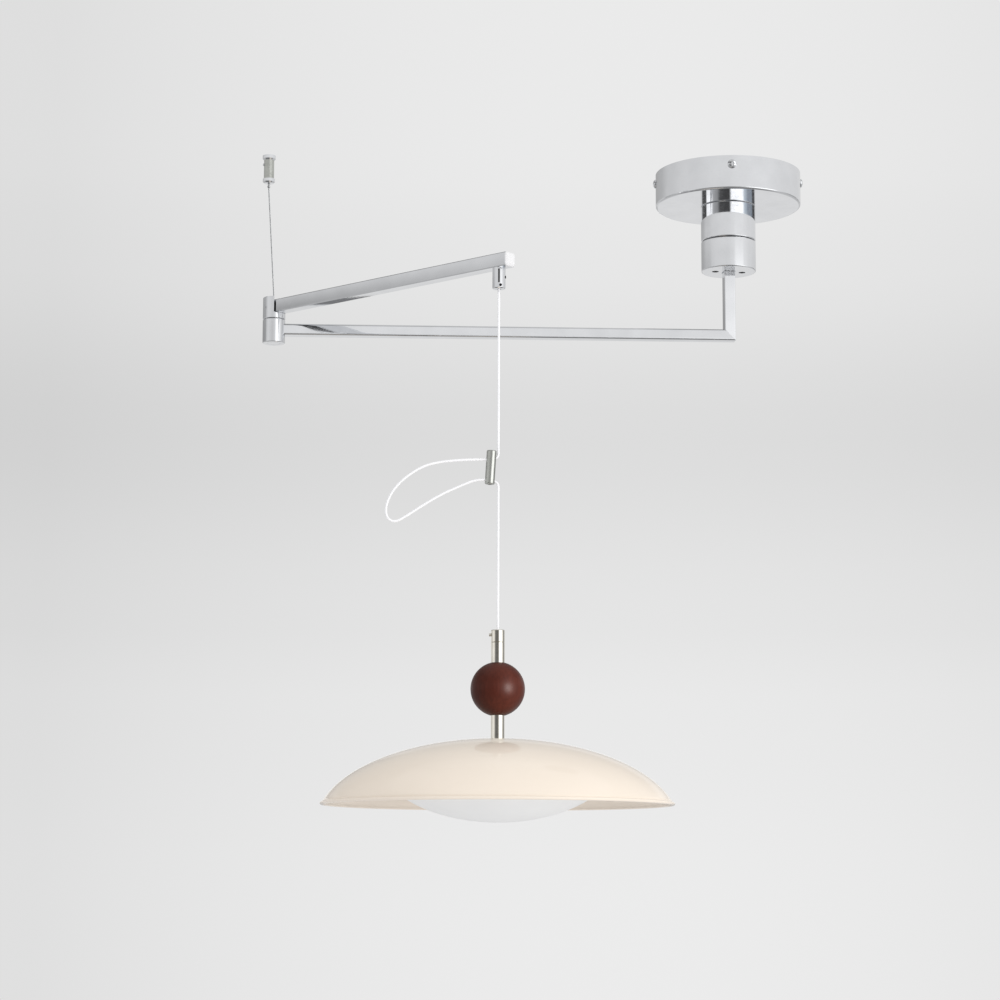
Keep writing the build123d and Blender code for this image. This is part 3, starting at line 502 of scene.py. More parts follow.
wireFacts = {
    "diameter": 1.2 * mm,
    "foot": Vector((-500.0, 0, -166.7)) * mm,
    "head": Vector((-508.0, 0, -36.3)) * mm,
    "lay": 7 * mm,
    "stations": (0, 0.3, 0.7, 1),
}
wireSpan = wireFacts["head"] - wireFacts["foot"]
wirePoints = [wireFacts["foot"] + wireSpan * share for share in wireFacts["stations"]]
wireRoute = routeCurve("stayWireRoute", wirePoints)
wireLine = routeLine(wireRoute)
stayWire = bakeTree(
    wireRoute,
    strandTree(),
    {"Strand Radius": wireFacts["diameter"] / 6, "Lay": wireFacts["lay"], "Material": steel},
    "stayWire",
)
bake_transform(stayWire)
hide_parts("stay_wire")
print("cords and stay wire made")


# Shade: an elliptical outline, a rolled bead at the rim and the inside wall, swept round the stem
def spunShadeTree():
    tree, size = newTree(
        "spunShade",
        {
            "Dome Radius": 180 * mm,
            "Dome Height": 95 * mm,
            "Wall": 1.2 * mm,
            "Hole Radius": 4.5 * mm,
            "Bead Ring": 169 * mm,
            "Bead Height": 32 * mm,
            "Bead Radius": 2.2 * mm,
            "Bead From": 2.1,
            "Bead To": -3.6,
            "Points": 56,
            "Bead Points": 28,
            "Sides": 192,
            "Place": (0, 0, 0),
        },
    )
    index = addNode(tree, "GeometryNodeInputIndex").outputs[0]
    lastPoint = math2(tree, "SUBTRACT", size["Points"], 1)
    innerStart = math2(tree, "ADD", size["Points"], size["Bead Points"])

    def runShare(start, last):
        return math2(tree, "DIVIDE", math2(tree, "SUBTRACT", index, start), last)

    def beadAt(angle):
        across = math2(tree, "MULTIPLY", math2(tree, "COSINE", angle), size["Bead Radius"])
        rise = math2(tree, "MULTIPLY", math2(tree, "SINE", angle), size["Bead Radius"])
        return math2(tree, "ADD", size["Bead Ring"], across), math2(tree, "ADD", size["Bead Height"], rise)

    def domeRun(share, radius, height, startRadius, endRadius):
        first = math2(tree, "ARCSINE", math2(tree, "DIVIDE", startRadius, radius))
        last = math2(tree, "ARCSINE", math2(tree, "DIVIDE", endRadius, radius))
        angle = spread(tree, share, first, last, 0.0, 1.0)
        across = math2(tree, "MULTIPLY", radius, math2(tree, "SINE", angle))
        return across, math2(tree, "MULTIPLY", height, math2(tree, "COSINE", angle))

    def profilePoint(across, rise):
        out = math2(tree, "SUBTRACT", across, size["Hole Radius"])
        return vectorOf(tree, out, math2(tree, "MULTIPLY", rise, -1.0))

    outerRim = beadAt(size["Bead From"])[0]
    innerRim = beadAt(size["Bead To"])[0]
    innerRadius = math2(tree, "SUBTRACT", size["Dome Radius"], size["Wall"])
    innerHeight = math2(tree, "SUBTRACT", size["Dome Height"], size["Wall"])
    outerShare = runShare(0, lastPoint)
    beadShare = runShare(size["Points"], math2(tree, "SUBTRACT", size["Bead Points"], 1))
    innerShare = runShare(innerStart, lastPoint)
    outerRun = domeRun(outerShare, size["Dome Radius"], size["Dome Height"], size["Hole Radius"], outerRim)
    innerRun = domeRun(innerShare, innerRadius, innerHeight, innerRim, size["Hole Radius"])
    beadAngle = spread(tree, beadShare, size["Bead From"], size["Bead To"], 0.0, 1.0)
    onOuter = math2(tree, "LESS_THAN", index, size["Points"])
    beforeInner = math2(tree, "LESS_THAN", index, innerStart)
    afterOuter = pickIf(tree, beforeInner, profilePoint(*beadAt(beadAngle)), profilePoint(*innerRun))
    outline = pickIf(tree, onOuter, profilePoint(*outerRun), afterOuter)

    line = addNode(tree, "GeometryNodeMeshLine", {"Count": math2(tree, "ADD", innerStart, size["Points"])})
    shape = reshaped(tree, line.outputs[0], Position=outline)
    profile = addNode(tree, "GeometryNodeMeshToCurve", {"Mesh": shape})
    closed = addNode(tree, "GeometryNodeSetSplineCyclic", {"Geometry": profile.outputs[0], "Cyclic": True})
    circle = ringOf(tree, size["Sides"], size["Hole Radius"])
    wall = swept(tree, circle, closed.outputs[0], capped=False)
    return finishTree(tree, moved(tree, wall, Translation=size["Place"]), size["Material"])


shadeFacts = {
    "rimRadius": 170 * mm,
    "height": 63.5 * mm,
    "domeRadius": 175 * mm,
    "wall": 1.2 * mm,
    "holeRadius": 4.52 * mm,
    "beadRadius": 1.6 * mm,
    "beadOver": 1.1 * mm,
    "beadRise": 0.7 * mm,
}
rimShare = math.sqrt(1 - (shadeFacts["rimRadius"] / shadeFacts["domeRadius"]) ** 2)
domeHeight = shadeFacts["height"] / (1 - rimShare)
# the outside meets the bead, and the inside leaves it, where the wall's line at the rim crosses it
beadInset = shadeFacts["beadRadius"] - shadeFacts["beadOver"]
wallAcross = -shadeFacts["rimRadius"] * domeHeight
wallLean = math.atan2(rimShare * domeHeight * shadeFacts["domeRadius"], wallAcross)
beadFrom = wallLean - math.asin(beadInset / shadeFacts["beadRadius"])
beadTo = wallLean + math.asin((shadeFacts["wall"] - beadInset) / shadeFacts["beadRadius"]) - math.tau
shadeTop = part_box("shade")[1][2]
shadeValues = {
    "Dome Radius": shadeFacts["domeRadius"],
    "Dome Height": domeHeight,
    "Wall": shadeFacts["wall"],
    "Hole Radius": shadeFacts["holeRadius"],
    "Bead Ring": shadeFacts["rimRadius"] + shadeFacts["beadOver"] - shadeFacts["beadRadius"],
    "Bead Height": domeHeight * rimShare + shadeFacts["beadRise"],
    "Bead Radius": shadeFacts["beadRadius"],
    "Bead From": beadFrom,
    "Bead To": beadTo,
    "Place": (pendantX, pendantY, shadeTop - domeHeight),
    "Material": cream,
}
spunShade = treePiece("spunShade", spunShadeTree(), shadeValues)
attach(spunShade, "pendant")
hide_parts("shade")
print("shade spun:", len(spunShade.data.polygons), "faces")


# Square tubes: the drawn faces are crowned a little and the corners are cut or rounded
def tubeSection(tree, size):
    square = addNode(
        tree,
        "GeometryNodeCurvePrimitiveQuadrilateral",
        {"Width": size["Side"], "Height": size["Side"]},
    )
    corners = addNode(
        tree,
        "GeometryNodeFilletCurve",
        {
            "Curve": square.outputs["Curve"],
            "Count": size["Corner Steps"],
            "Radius": size["Corner Radius"],
        },
        mode="POLY",
    )
    finer = addNode(tree, "GeometryNodeSubdivideCurve", {"Curve": corners.outputs[0], "Cuts": 7})
    place = addNode(tree, "GeometryNodeInputPosition")
    parts = addNode(tree, "ShaderNodeSeparateXYZ", {0: place.outputs[0]}).outputs
    half = math2(tree, "MULTIPLY", size["Side"], 0.5)

    def crowned(side, other):
        share = math2(tree, "DIVIDE", other, half)
        rise = math2(tree, "SUBTRACT", 1.0, math2(tree, "MULTIPLY", share, share))
        grown = math2(tree, "ADD", 1.0, math2(tree, "MULTIPLY", size["Crown"], rise))
        return math2(tree, "MULTIPLY", side, grown)

    across = crowned(parts["X"], parts["Y"])
    up = crowned(parts["Y"], parts["X"])
    shape = reshaped(tree, finer.outputs[0], Position=vectorOf(tree, across, up))
    return moved(tree, shape, Rotation=vectorOf(tree, z=size["Roll"]))


tubeInputs = {
    "Side": 14 * mm,
    "Corner Radius": 0.8 * mm,
    "Corner Steps": 1,
    "Crown": 0.005,
    "Roll": 0.0,
    "Start": (0, 0, 0),
    "End": (1, 0, 0),
}
mitreInputs = {"Mitre Place": (0, 0, 0), "Mitre Turn": (0, 0, 0)}
mitreBlock = 60 * mm


def crownedTubeTree(mitred):
    tree, size = newTree("crownedTube", {**tubeInputs, **mitreInputs} if mitred else tubeInputs)
    tube = swept(tree, lineOf(tree, size["Start"], size["End"]), tubeSection(tree, size))
    if mitred:
        block = addNode(tree, "GeometryNodeMeshCube", {"Size": (mitreBlock, mitreBlock, mitreBlock)})
        place = {"Translation": size["Mitre Place"], "Rotation": size["Mitre Turn"]}
        tube = cutFrom(tree, tube, moved(tree, block.outputs["Mesh"], **place))
    return finishTree(tree, tube, size["Material"])


# Moulded cap: the tube's section drawn in to a pillow end
def pillowCapTree():
    tree, size = newTree("pillowCap", {**tubeInputs, "Pillow Power": 3.0, "Steps": 24, "Closing": 0.985})
    path = lineOf(tree, size["Start"], size["End"])
    steps = addNode(tree, "GeometryNodeResampleCurve", {"Curve": path, "Count": size["Steps"]})
    along = addNode(tree, "GeometryNodeSplineParameter")
    reached = math2(tree, "MULTIPLY", along.outputs["Factor"], size["Closing"])
    left = math2(tree, "SUBTRACT", 1.0, math2(tree, "POWER", reached, size["Pillow Power"]))
    drawnIn = math2(tree, "POWER", left, math2(tree, "DIVIDE", 1.0, size["Pillow Power"]))
    cap = swept(tree, steps.outputs[0], tubeSection(tree, size), Scale=drawnIn)
    return finishTree(tree, cap, size["Material"])


elbowX = -500 * mm
upperFacts = {
    "side": 14 * mm,
    "height": -167.9 * mm,
    "back": 6.0 * mm,
    "reach": 333.7 * mm,
    "cap": 3.2 * mm,
}
armWay = (Vector((pendantX, pendantY, 0)) - Vector((elbowX, 0, 0))).normalized()
armRoot = Vector((elbowX, 0, upperFacts["height"]))
armEnd = armRoot + armWay * upperFacts["reach"]
upperValues = {
    "Side": upperFacts["side"],
    "Corner Radius": 0.9 * mm,
    "Corner Steps": 1,
    "Crown": 0.006,
    "Start": armRoot - armWay * upperFacts["back"],
    "End": armEnd,
    "Material": chrome,
}
upperTube = treePiece("upperTube", crownedTubeTree(False), upperValues)
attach(upperTube, "upper_arm")
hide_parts("upper_tube")
capValues = {
    "Side": upperFacts["side"],
    "Corner Radius": 3.0 * mm,
    "Corner Steps": 8,
    "Crown": 0.01,
    "Pillow Power": 2.2,
    "Start": armEnd,
    "End": armEnd + armWay * upperFacts["cap"],
    "Material": casePlastic,
}
pillowCap = treePiece("pillowCap", pillowCapTree(), capValues)
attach(pillowCap, "upper_arm")
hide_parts("end_cap")

lowerFacts = {"side": 12 * mm, "corner": -182.4 * mm, "fall": math.radians(1.16), "reach": 492.5 * mm}
lowerWay = Vector((-math.cos(lowerFacts["fall"]), 0, -math.sin(lowerFacts["fall"])))
lowerCorner = Vector((0, 0, lowerFacts["corner"]))
mitreWay = (lowerWay - Vector((0, 0, 1))).normalized()
lowerValues = {
    "Side": lowerFacts["side"],
    "Corner Radius": 1.3 * mm,
    "Corner Steps": 8,
    "Crown": 0.005,
    "Roll": math.radians(2.5),
    "Start": lowerCorner - lowerWay * lowerFacts["side"],
    "End": lowerCorner + lowerWay * lowerFacts["reach"] / math.cos(lowerFacts["fall"]),
    "Mitre Place": lowerCorner - mitreWay * mitreBlock / 2,
    "Mitre Turn": mitreWay.to_track_quat("X", "Z").to_euler(),
    "Material": chrome,
}
lowerTube = treePiece("lowerTube", crownedTubeTree(True), lowerValues)
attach(lowerTube, "lower_arm")
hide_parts("lower_tube")

# Painted shade: a dark block set in the grip's slit stands in for the shadow inside it
slitShadowFacts = {
    "turn": math.radians(-98),
    "inner": 3.2 * mm,
    "outer": 5.6 * mm,
    "width": 1.7 * mm,
    "top": -176.6 * mm,
    "bottom": -190.4 * mm,
}
outWay = Vector((math.cos(slitShadowFacts["turn"]), math.sin(slitShadowFacts["turn"]), 0))
sideWay = Vector((-outWay.y, outWay.x, 0))
gripAxis = Vector((pendantX, pendantY, 0))
slitShadowCorners = []
for level in ("bottom", "top"):
    for out, side in (("inner", -0.5), ("outer", -0.5), ("outer", 0.5), ("inner", 0.5)):
        corner = gripAxis + outWay * slitShadowFacts[out] + sideWay * slitShadowFacts["width"] * side
        slitShadowCorners.append(corner + Vector((0, 0, slitShadowFacts[level])))
slitShadowFaces = [(3, 2, 1, 0), (4, 5, 6, 7), (0, 1, 5, 4), (1, 2, 6, 5), (2, 3, 7, 6), (3, 0, 4, 7)]
slitShadowMesh = bpy.data.meshes.new("slitShadowBlock")
slitShadowMesh.from_pydata(slitShadowCorners, [], slitShadowFaces)
# the black fibre finish on this block is painted shade, not a real liner
slitShadowMesh.materials.append(fibre)
slitShadowBlock = bpy.data.objects.new("slitShadowBlock", slitShadowMesh)
bpy.context.scene.collection.objects.link(slitShadowBlock)
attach(slitShadowBlock, "upper_arm")
print("tubes, cap and slit liner made")


# Diffuser: a round plate sunk to an ellipse
def sunkBowlTree():
    tree, size = newTree(
        "sunkBowl",
        {
            "Radius": 100 * mm,
            "Wall": 2 * mm,
            "Ellipse Radius": 118 * mm,
            "Ellipse Depth": 65 * mm,
            "Place": (0, 0, 0),
            "Sides": 160,
            "Rings": 40,
        },
    )
    disc = cylinderOf(tree, size["Sides"], size["Radius"], size["Wall"], size["Rings"], "TRIANGLE_FAN")
    place = addNode(tree, "GeometryNodeInputPosition")
    flat = addNode(tree, "ShaderNodeVectorMath", {0: place.outputs[0], 1: (1, 1, 0)}, operation="MULTIPLY")
    out = addNode(tree, "ShaderNodeVectorMath", {0: flat.outputs[0]}, operation="LENGTH")
    share = math2(tree, "DIVIDE", out.outputs["Value"], size["Ellipse Radius"])
    level = math2(tree, "SQRT", math2(tree, "SUBTRACT", 1.0, math2(tree, "MULTIPLY", share, share)))
    climb = math2(tree, "MULTIPLY", size["Ellipse Depth"], math2(tree, "SUBTRACT", 1.0, level))
    lift = math2(tree, "ADD", climb, math2(tree, "MULTIPLY", size["Wall"], 0.5))
    bowl = reshaped(tree, disc, Offset=vectorOf(tree, z=lift))
    return finishTree(tree, moved(tree, bowl, Translation=size["Place"]), size["Material"])


bowlFacts = {
    "radius": 102.4 * mm,
    "wall": 2 * mm,
    "ellipseRadius": 118 * mm,
    "ellipseDepth": 65.7 * mm,
    "low": -721.8 * mm,
}
bowlShare = bowlFacts["radius"] / bowlFacts["ellipseRadius"]
bowlEdge = bowlFacts["low"] + bowlFacts["ellipseDepth"] * (1 - math.sqrt(1 - bowlShare**2))
bowlValues = {
    "Radius": bowlFacts["radius"],
    "Wall": bowlFacts["wall"],
    "Ellipse Radius": bowlFacts["ellipseRadius"],
    "Ellipse Depth": bowlFacts["ellipseDepth"],
    "Place": (pendantX, pendantY, bowlFacts["low"]),
    "Material": opal,
}
opalBowl = treePiece("opalBowl", sunkBowlTree(), bowlValues)
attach(opalBowl, "pendant")
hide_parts("diffuser")


# Pan: a turned cup, open below, whose wall ends just below the diffuser's edge
def turnedCupTree():
    tree, size = newTree(
        "turnedCup",
        {
            "Radius": 104 * mm,
            "Height": 20 * mm,
            "Wall": 1.2 * mm,
            "Plate": 1.5 * mm,
            "Hole Radius": 4.5 * mm,
            "Place": (0, 0, 0),
            "Sides": 160,
        },
    )

    def drum(radius, height, top):
        drop = math2(tree, "SUBTRACT", top, math2(tree, "MULTIPLY", height, 0.5))
        body = cylinderOf(tree, size["Sides"], radius, height)
        return moved(tree, body, Translation=vectorOf(tree, z=drop))

    inside = math2(tree, "SUBTRACT", size["Radius"], size["Wall"])
    under = math2(tree, "MULTIPLY", size["Plate"], -1.0)
    through = math2(tree, "MULTIPLY", size["Plate"], 4.0)
    tools = [drum(inside, size["Height"], under), drum(size["Hole Radius"], through, size["Plate"])]
    cup = cutFrom(tree, drum(size["Radius"], size["Height"], 0.0), tools)
    return finishTree(tree, moved(tree, cup, Translation=size["Place"]), size["Material"])


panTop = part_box("lamp_pan")[1][2]
panOverlap = 2 * mm
panRadius = 104 * mm
panValues = {
    "Radius": panRadius,
    "Height": panTop - bowlEdge + panOverlap,
    "Wall": 1.2 * mm,
    "Plate": 1.5 * mm,
    "Hole Radius": 4.1 * mm,
    "Place": (pendantX, pendantY, panTop),
    "Material": whiteEnamel,
}
turnedPan = treePiece("turnedPan", turnedCupTree(), panValues)
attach(turnedPan, "pendant")
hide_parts("lamp_pan")
print("diffuser and pan made")


# Screws set round a wall: a domed head with a cross recess on a plain shank
def crossScrewTree():
    tree, size = newTree(
        "crossScrews",
        {
            "Count": 4,
            "Ring Radius": 80 * mm,
            "Turn": 0.0,
            "Head Radius": 3.6 * mm,
            "Head Height": 2.2 * mm,
            "Crown Share": 0.8,
            "Rim Share": 0.2,
            "Recess Width": 0.9 * mm,
            "Recess Depth": 1.1 * mm,
            "Recess Reach": 1.15,
            "Shank Radius": 2.0 * mm,
            "Shank Length": 9.0 * mm,
            "Place": (0, 0, 0),
            "Head Sides": 40,
            "Head Rings": 10,
            "Shank Sides": 28,
        },
    )
    headForm = (size["Head Sides"], size["Head Radius"], size["Head Height"], size["Head Rings"])
    disc = cylinderOf(tree, *headForm, fill="TRIANGLE_FAN")
    # the disc's top bends down to its edge as part of an ellipse
    place = addNode(tree, "GeometryNodeInputPosition")
    parts = addNode(tree, "ShaderNodeSeparateXYZ", {0: place.outputs[0]}).outputs
    squareX = math2(tree, "MULTIPLY", parts["X"], parts["X"])
    squareY = math2(tree, "MULTIPLY", parts["Y"], parts["Y"])
    squareOut = math2(tree, "ADD", squareX, squareY)
    squareHead = math2(tree, "MULTIPLY", size["Head Radius"], size["Head Radius"])
    crown = math2(tree, "SUBTRACT", 1.0, math2(tree, "DIVIDE", squareOut, squareHead))
    rounded = math2(tree, "SQRT", math2(tree, "MAXIMUM", crown, 0.0))
    shares = math2(tree, "ADD", math2(tree, "MULTIPLY", rounded, size["Crown Share"]), size["Rim Share"])
    domed = math2(tree, "MULTIPLY", size["Head Height"], shares)
    onTop = math2(tree, "GREATER_THAN", parts["Z"], 0.0)
    lift = vectorOf(tree, parts["X"], parts["Y"], math2(tree, "MULTIPLY", domed, onTop))
    dome = reshaped(tree, disc, Position=lift)
    reach = math2(tree, "MULTIPLY", size["Head Radius"], size["Recess Reach"])
    deep = math2(tree, "MULTIPLY", size["Recess Depth"], 2.0)
    tools = []
    for long, wide in ((reach, size["Recess Width"]), (size["Recess Width"], reach)):
        bar = addNode(tree, "GeometryNodeMeshCube", {"Size": vectorOf(tree, long, wide, deep)})
        tools.append(moved(tree, bar.outputs["Mesh"], Translation=vectorOf(tree, z=size["Head Height"])))
    head = cutFrom(tree, dome, tools)
    sink = vectorOf(tree, z=math2(tree, "MULTIPLY", size["Shank Length"], -0.5))
    shankBody = cylinderOf(tree, size["Shank Sides"], size["Shank Radius"], size["Shank Length"])
    shank = moved(tree, shankBody, Translation=sink)
    ring = addNode(
        tree,
        "GeometryNodeMeshCircle",
        {"Vertices": size["Count"], "Radius": size["Ring Radius"]},
    )
    ringPlace = addNode(tree, "GeometryNodeInputPosition")
    face = addNode(tree, "FunctionNodeAlignRotationToVector", {"Vector": ringPlace.outputs[0]}, axis="Z")
    scatter = addNode(
        tree,
        "GeometryNodeInstanceOnPoints",
        {
            "Points": ring.outputs["Mesh"],
            "Instance": joined(tree, [head, shank]),
            "Rotation": face.outputs[0],
        },
    )
    spin = vectorOf(tree, z=size["Turn"])
    screws = moved(tree, scatter.outputs[0], Rotation=spin, Translation=size["Place"])
    return finishTree(tree, screws, size["Material"])


screwTree = crossScrewTree()
sideScrewFacts = {
    "Count": 4,
    "Ring Radius": 80 * mm,
    "Turn": math.radians(-9.7),
    "Head Radius": 4.8 * mm,
    "Head Height": 2.8 * mm,
    "Recess Width": 1.3 * mm,
    "Recess Depth": 1.5 * mm,
    "Shank Radius": 2.0 * mm,
    "Shank Length": 9.0 * mm,
    "Place": (0, 0, -10 * mm),
    "Material": chrome,
}
sideScrews = treePiece("sideScrews", screwTree, sideScrewFacts)
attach(sideScrews, "ceiling")
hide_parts("side_screws")
screwRise = 2 * mm  # above the diffuser's edge
diffuserScrewFacts = {
    "Count": 3,
    "Ring Radius": panRadius,
    "Turn": 0.0,
    "Head Radius": 2.8 * mm,
    "Head Height": 1.4 * mm,
    "Recess Width": 0.7 * mm,
    "Recess Depth": 0.8 * mm,
    "Shank Radius": 1.5 * mm,
    "Shank Length": 3.4 * mm,
    "Place": (pendantX, pendantY, bowlEdge + screwRise),
    "Material": steel,
}
diffuserScrews = treePiece("diffuserScrews", screwTree, diffuserScrewFacts)
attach(diffuserScrews, "pendant")
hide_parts("diffuser_screws")
print("screws set")

# Camera at the photograph's angle
cameraFacts = {
    "place": (-638.8 * mm, -2729.6 * mm, -785.7 * mm),
    "tiltUp": 8.555,
    "yaw": 8.017,
    "roll": 0.168,
    "focalPixels": 2590.3,
    "sensor": 36.0,
    "imagePixels": 1000.0,
    "clip": (0.05, 60.0),
}
cameraData = bpy.data.cameras.new("photoCamera")
cameraData.sensor_width = cameraFacts["sensor"]
cameraData.lens = cameraFacts["focalPixels"] * cameraFacts["sensor"] / cameraFacts["imagePixels"]
cameraData.clip_start, cameraData.clip_end = cameraFacts["clip"]
camera = bpy.data.objects.new("photoCamera", cameraData)
bpy.context.scene.collection.objects.link(camera)
camera.location = cameraFacts["place"]
level = Euler((math.radians(90 + cameraFacts["tiltUp"]), 0, -math.radians(cameraFacts["yaw"])))
rolled = level.to_matrix() @ Matrix.Rotation(math.radians(cameraFacts["roll"]), 3, "Z")
camera.rotation_euler = rolled.to_euler()
bpy.context.scene.camera = camera
print("camera set")

# Pale floor far below, which mirrors nothing
floorFacts = {
    "level": -2.8,
    "half": 40.0,
    "colour": (0.84, 0.84, 0.85),
    "roughness": 0.9,
    "specular": 0.0,
}
floorMesh = bpy.data.meshes.new("paleFloor")
floorCorners = [
    (floorFacts["half"] * across, floorFacts["half"] * along, floorFacts["level"])
    for across, along in ((-1, -1), (1, -1), (1, 1), (-1, 1))
]
floorMesh.from_pydata(floorCorners, [], [(0, 1, 2, 3)])
floor = bpy.data.objects.new("paleFloor", floorMesh)
bpy.context.scene.collection.objects.link(floor)
floorPaint, _, floorSurface = newMaterial("paleFloor")
floorSurface["Base Color"].default_value = (*floorFacts["colour"], 1)
floorSurface["Roughness"].default_value = floorFacts["roughness"]
floorSurface["Specular IOR Level"].default_value = floorFacts["specular"]
floorMesh.materials.append(floorPaint)

# World: the camera sees a plain pale wall, matt surfaces an even room, and metal a room with windows and
# dark doorways low down and a quiet ceiling above
world = bpy.data.worlds.new("paleRoom")
bpy.context.scene.world = world
world.use_nodes = True
worldTree = world.node_tree
roomFacts = {
    # degrees above the horizon, and the wall's tone there
    "wall": [
        (-90, 0.84),
        (0, 0.835),
        (4, 0.815),
        (6, 0.78),
        (10, 0.72),
        (14, 0.8),
        (16, 0.825),
        (90, 0.83),
    ],
    "wallCentre": 11.0,  # degrees round where the wall is brightest
    "wallFall": (13.0, 0.89),  # degrees off that centre, and the tone's share there
    "sideTones": (0.46, 0.99),  # what matt surfaces see level with them, far left and far right
    # from one height to the other the even room turns into a lit ceiling, whose tone comes third
    "topTone": (0.10, 0.60, 1.04),
    # each ring of the room starts at a height in degrees and blends in over a few more; its tones are
    # set round from the camera's side in degrees, right is positive
    "rings": [
        {"foot": -90, "blend": 0, "tones": [(-180, 0.2), (180, 0.2)]},
        {
            "foot": -56,
            "blend": 10,
            "tones": [(-180, 0.62), (-70, 0.42), (10, 0.36), (60, 0.6), (180, 0.62)],
        },
        {
            "foot": -25,
            "blend": 2,
            "tones": [
                (-180, 0.8), (-150, 0.6), (-60, 0.4), (-16, 0.04), (28, 0.03), (44, 0.5),
                (150, 0.6), (180, 0.8),
            ],
        },
        {
            "foot": -16.4,
            "blend": 0.5,
            "tones": [
                (-180, 0.8), (-160, 0.8), (-152, 0.1), (-122, 0.06), (-112, 1.5), (-90, 1.5),
                (-76, 0.5), (-62, 0.4), (-46, 0.07), (-8, 0.07), (4, 1.8), (48, 1.8),
                (65, (0.62, 0.7, 0.78)), (82, (0.31, 0.35, 0.41)), (104, (0.31, 0.35, 0.4)),
                (118, 0.04), (130, 0.06), (150, 0.7), (165, 0.8), (180, 0.8),
            ],
        },
        {
            "foot": -14.1,
            "blend": 0.4,
            "tones": [
                (-180, 0.77), (-95, 0.66), (-46, 0.3), (12, 0.24), (34, 0.4), (52, 0.9),
                (180, 0.77),
            ],
        },
        {
            "foot": -10.7,
            "blend": 0.5,
            "tones": [
                (-180, 0.5), (-160, 0.5), (-120, 0.42), (-30, 0.3), (12, 0.26), (30, 1.5),
                (60, 1.5), (84, 0.5), (120, 0.42), (150, 0.5), (180, 0.5),
            ],
        },
        {
            "foot": 0.5,
            "blend": 0.8,
            "tones": [
                (-180, 0.9), (-146, 0.9), (-118, 0.63), (-98, 1.05), (-72, 1.05), (-46, 0.22),
                (-14, 0.14), (2, 0.3), (12, 0.9), (22, 2.2), (60, 2.2), (74, 0.9), (100, 0.3),
                (114, 0.3), (128, 0.75), (180, 0.9),
            ],
        },
        {
            "foot": 9.3,
            "blend": 1,
            "tones": [
                (-180, 0.34), (-98, 0.37), (-86, 0.64), (-65, 0.8), (-15, 0.66), (8, 0.8),
                (20, 1.5), (48, 1.6), (58, 1.0), (84, 0.75), (116, 0.66), (180, 0.5),
            ],
        },
        {
            "foot": 12.2,
            "blend": 2.2,
            "tones": [
                (-180, 0.42), (-150, 0.51), (-118, 0.68), (-76, 0.76), (-26, 0.82), (24, 0.89),
                (47, 0.89), (88, 0.82), (141, 0.76), (180, 0.6),
            ],
        },
        {
            "foot": 19,
            "blend": 4,
            "tones": [
                (-180, 0.45), (-150, 0.25), (-10, 0.25), (14, 0.5), (24, 1.6), (66, 1.6), (78, 0.4),
                (150, 0.4), (180, 0.45),
            ],
        },
        {"foot": 46, "blend": 6, "tones": [(-180, 0.7), (180, 0.7)]},
    ],
}


def toneRamp(tree, source, stops, low, high):
    ramp = addNode(tree, "ShaderNodeValToRGB", {"Fac": source})
    ramp.color_ramp.interpolation = "EASE"
    for place, _ in stops[1:-1]:
        ramp.color_ramp.elements.new((place - low) / (high - low))
    for element, (place, tone) in zip(ramp.color_ramp.elements, stops):
        element.position = (place - low) / (high - low)
        element.color = (*tone, 1) if isinstance(tone, tuple) else (tone, tone, tone, 1)
    return ramp.outputs["Color"]


direction = addNode(worldTree, "ShaderNodeTexCoord")
toward = addNode(worldTree, "ShaderNodeSeparateXYZ", {0: direction.outputs["Generated"]}).outputs
rise = math2(worldTree, "DEGREES", math2(worldTree, "ARCSINE", toward["Z"]))
wallTone = toneRamp(worldTree, spread(worldTree, rise, 0, 1, -90, 90), roomFacts["wall"], -90, 90)
backTurn = math2(worldTree, "DEGREES", math2(worldTree, "ARCTAN2", toward["X"], toward["Y"]))
offCentre = math2(worldTree, "ABSOLUTE", math2(worldTree, "SUBTRACT", backTurn, roomFacts["wallCentre"]))
dimEdge, dimTone = roomFacts["wallFall"]
falloff = spread(worldTree, math2(worldTree, "POWER", offCentre, 2.0), 1.0, dimTone, 0.0, dimEdge**2)
wallLit = mixTone(worldTree, 1.0, wallTone, falloff, "MULTIPLY")
toFront = math2(worldTree, "MULTIPLY", toward["Y"], -1.0)
roundTurn = math2(worldTree, "ARCTAN2", toward["X"], toFront)
turned = spread(worldTree, roundTurn, 0, 1, -math.pi, math.pi)
lowest, *higher = roomFacts["rings"]
room = toneRamp(worldTree, turned, lowest["tones"], -180, 180)
for ring in higher:
    ringTone = toneRamp(worldTree, turned, ring["tones"], -180, 180)
    above = spread(worldTree, rise, 0, 1, ring["foot"], ring["foot"] + ring["blend"])
    room = mixTone(worldTree, above, room, ringTone)
rays = addNode(worldTree, "ShaderNodeLightPath")
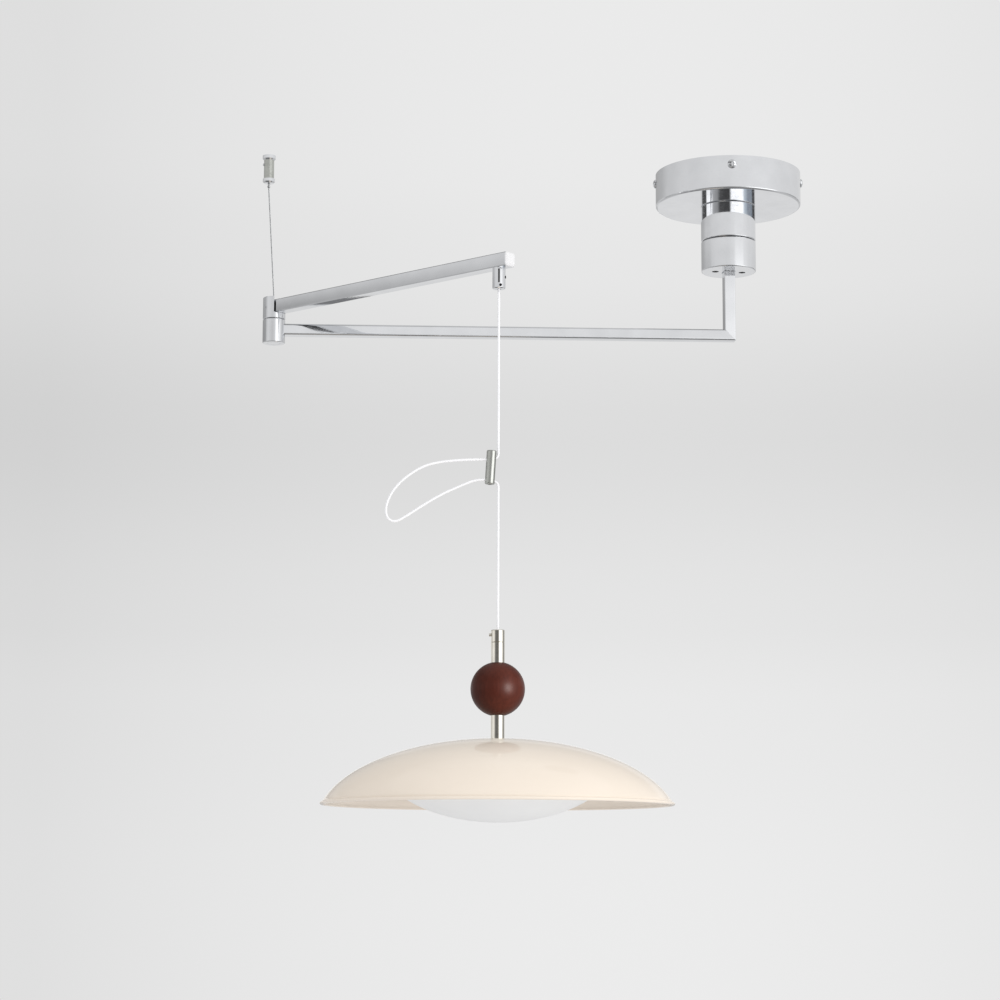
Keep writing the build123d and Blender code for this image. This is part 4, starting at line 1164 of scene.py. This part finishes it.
sides = spread(worldTree, toward["X"], *roomFacts["sideTones"], -1, 1)
topFrom, topTo, ceilingTone = roomFacts["topTone"]
upShare = spread(worldTree, toward["Z"], 0, 1, topFrom, topTo)
ceilingLight = addNode(worldTree, "ShaderNodeValue")
ceilingLight.outputs[0].default_value = ceilingTone
even = mixTone(worldTree, upShare, sides, ceilingLight.outputs[0])
lit = mixTone(worldTree, rays.outputs["Is Glossy Ray"], even, room)
straight = math2(worldTree, "MAXIMUM", rays.outputs["Is Camera Ray"], rays.outputs["Is Transmission Ray"])
seen = mixTone(worldTree, straight, lit, wallLit)
worldTree.links.new(seen, worldTree.nodes["Background"].inputs["Color"])

# Lamps: a box from the right, a wide fill from the front and a small one for the ball
lamps = {
    "keyBox": {
        "place": (1.55, -2.1, -0.72),
        "size": (0.9, 1.1),
        "power": 21.0,
        "colour": (1.0, 0.985, 0.965),
    },
    "frontFill": {
        "place": (-1.0, -3.4, -0.2),
        "size": (2.6, 2.2),
        "power": 10.0,
        "colour": (1.0, 1.0, 1.0),
    },
    "woodGlow": {
        "place": (0.25, -0.95, -0.56),
        "size": (0.34, 0.40),
        "power": 10.5,
        "colour": (1.0, 0.97, 0.94),
    },
}
aim = Vector((-0.29, -0.24, -0.6))
for name, lamp in lamps.items():
    light = bpy.data.lights.new(name, "AREA")
    light.shape = "RECTANGLE"
    light.size, light.size_y = lamp["size"]
    light.energy = lamp["power"]
    light.color = lamp["colour"]
    holder = bpy.data.objects.new(name, light)
    bpy.context.scene.collection.objects.link(holder)
    holder.location = lamp["place"]
    holder.rotation_euler = (aim - holder.location).to_track_quat("-Z", "Y").to_euler()
    holder.visible_camera = False
    holder.visible_glossy = name == "woodGlow"
    if name == "woodGlow":
        # dark wood wants a light of its own, the enamel and plate are bright enough without it
        woodOnly = bpy.data.collections.new("woodOnly")
        woodOnly.objects.link(nodes["ball"])
        holder.light_linking.receiver_collection = woodOnly
floor.visible_glossy = False
bpy.context.scene.view_settings.view_transform = "Standard"
print("room and lamps set")
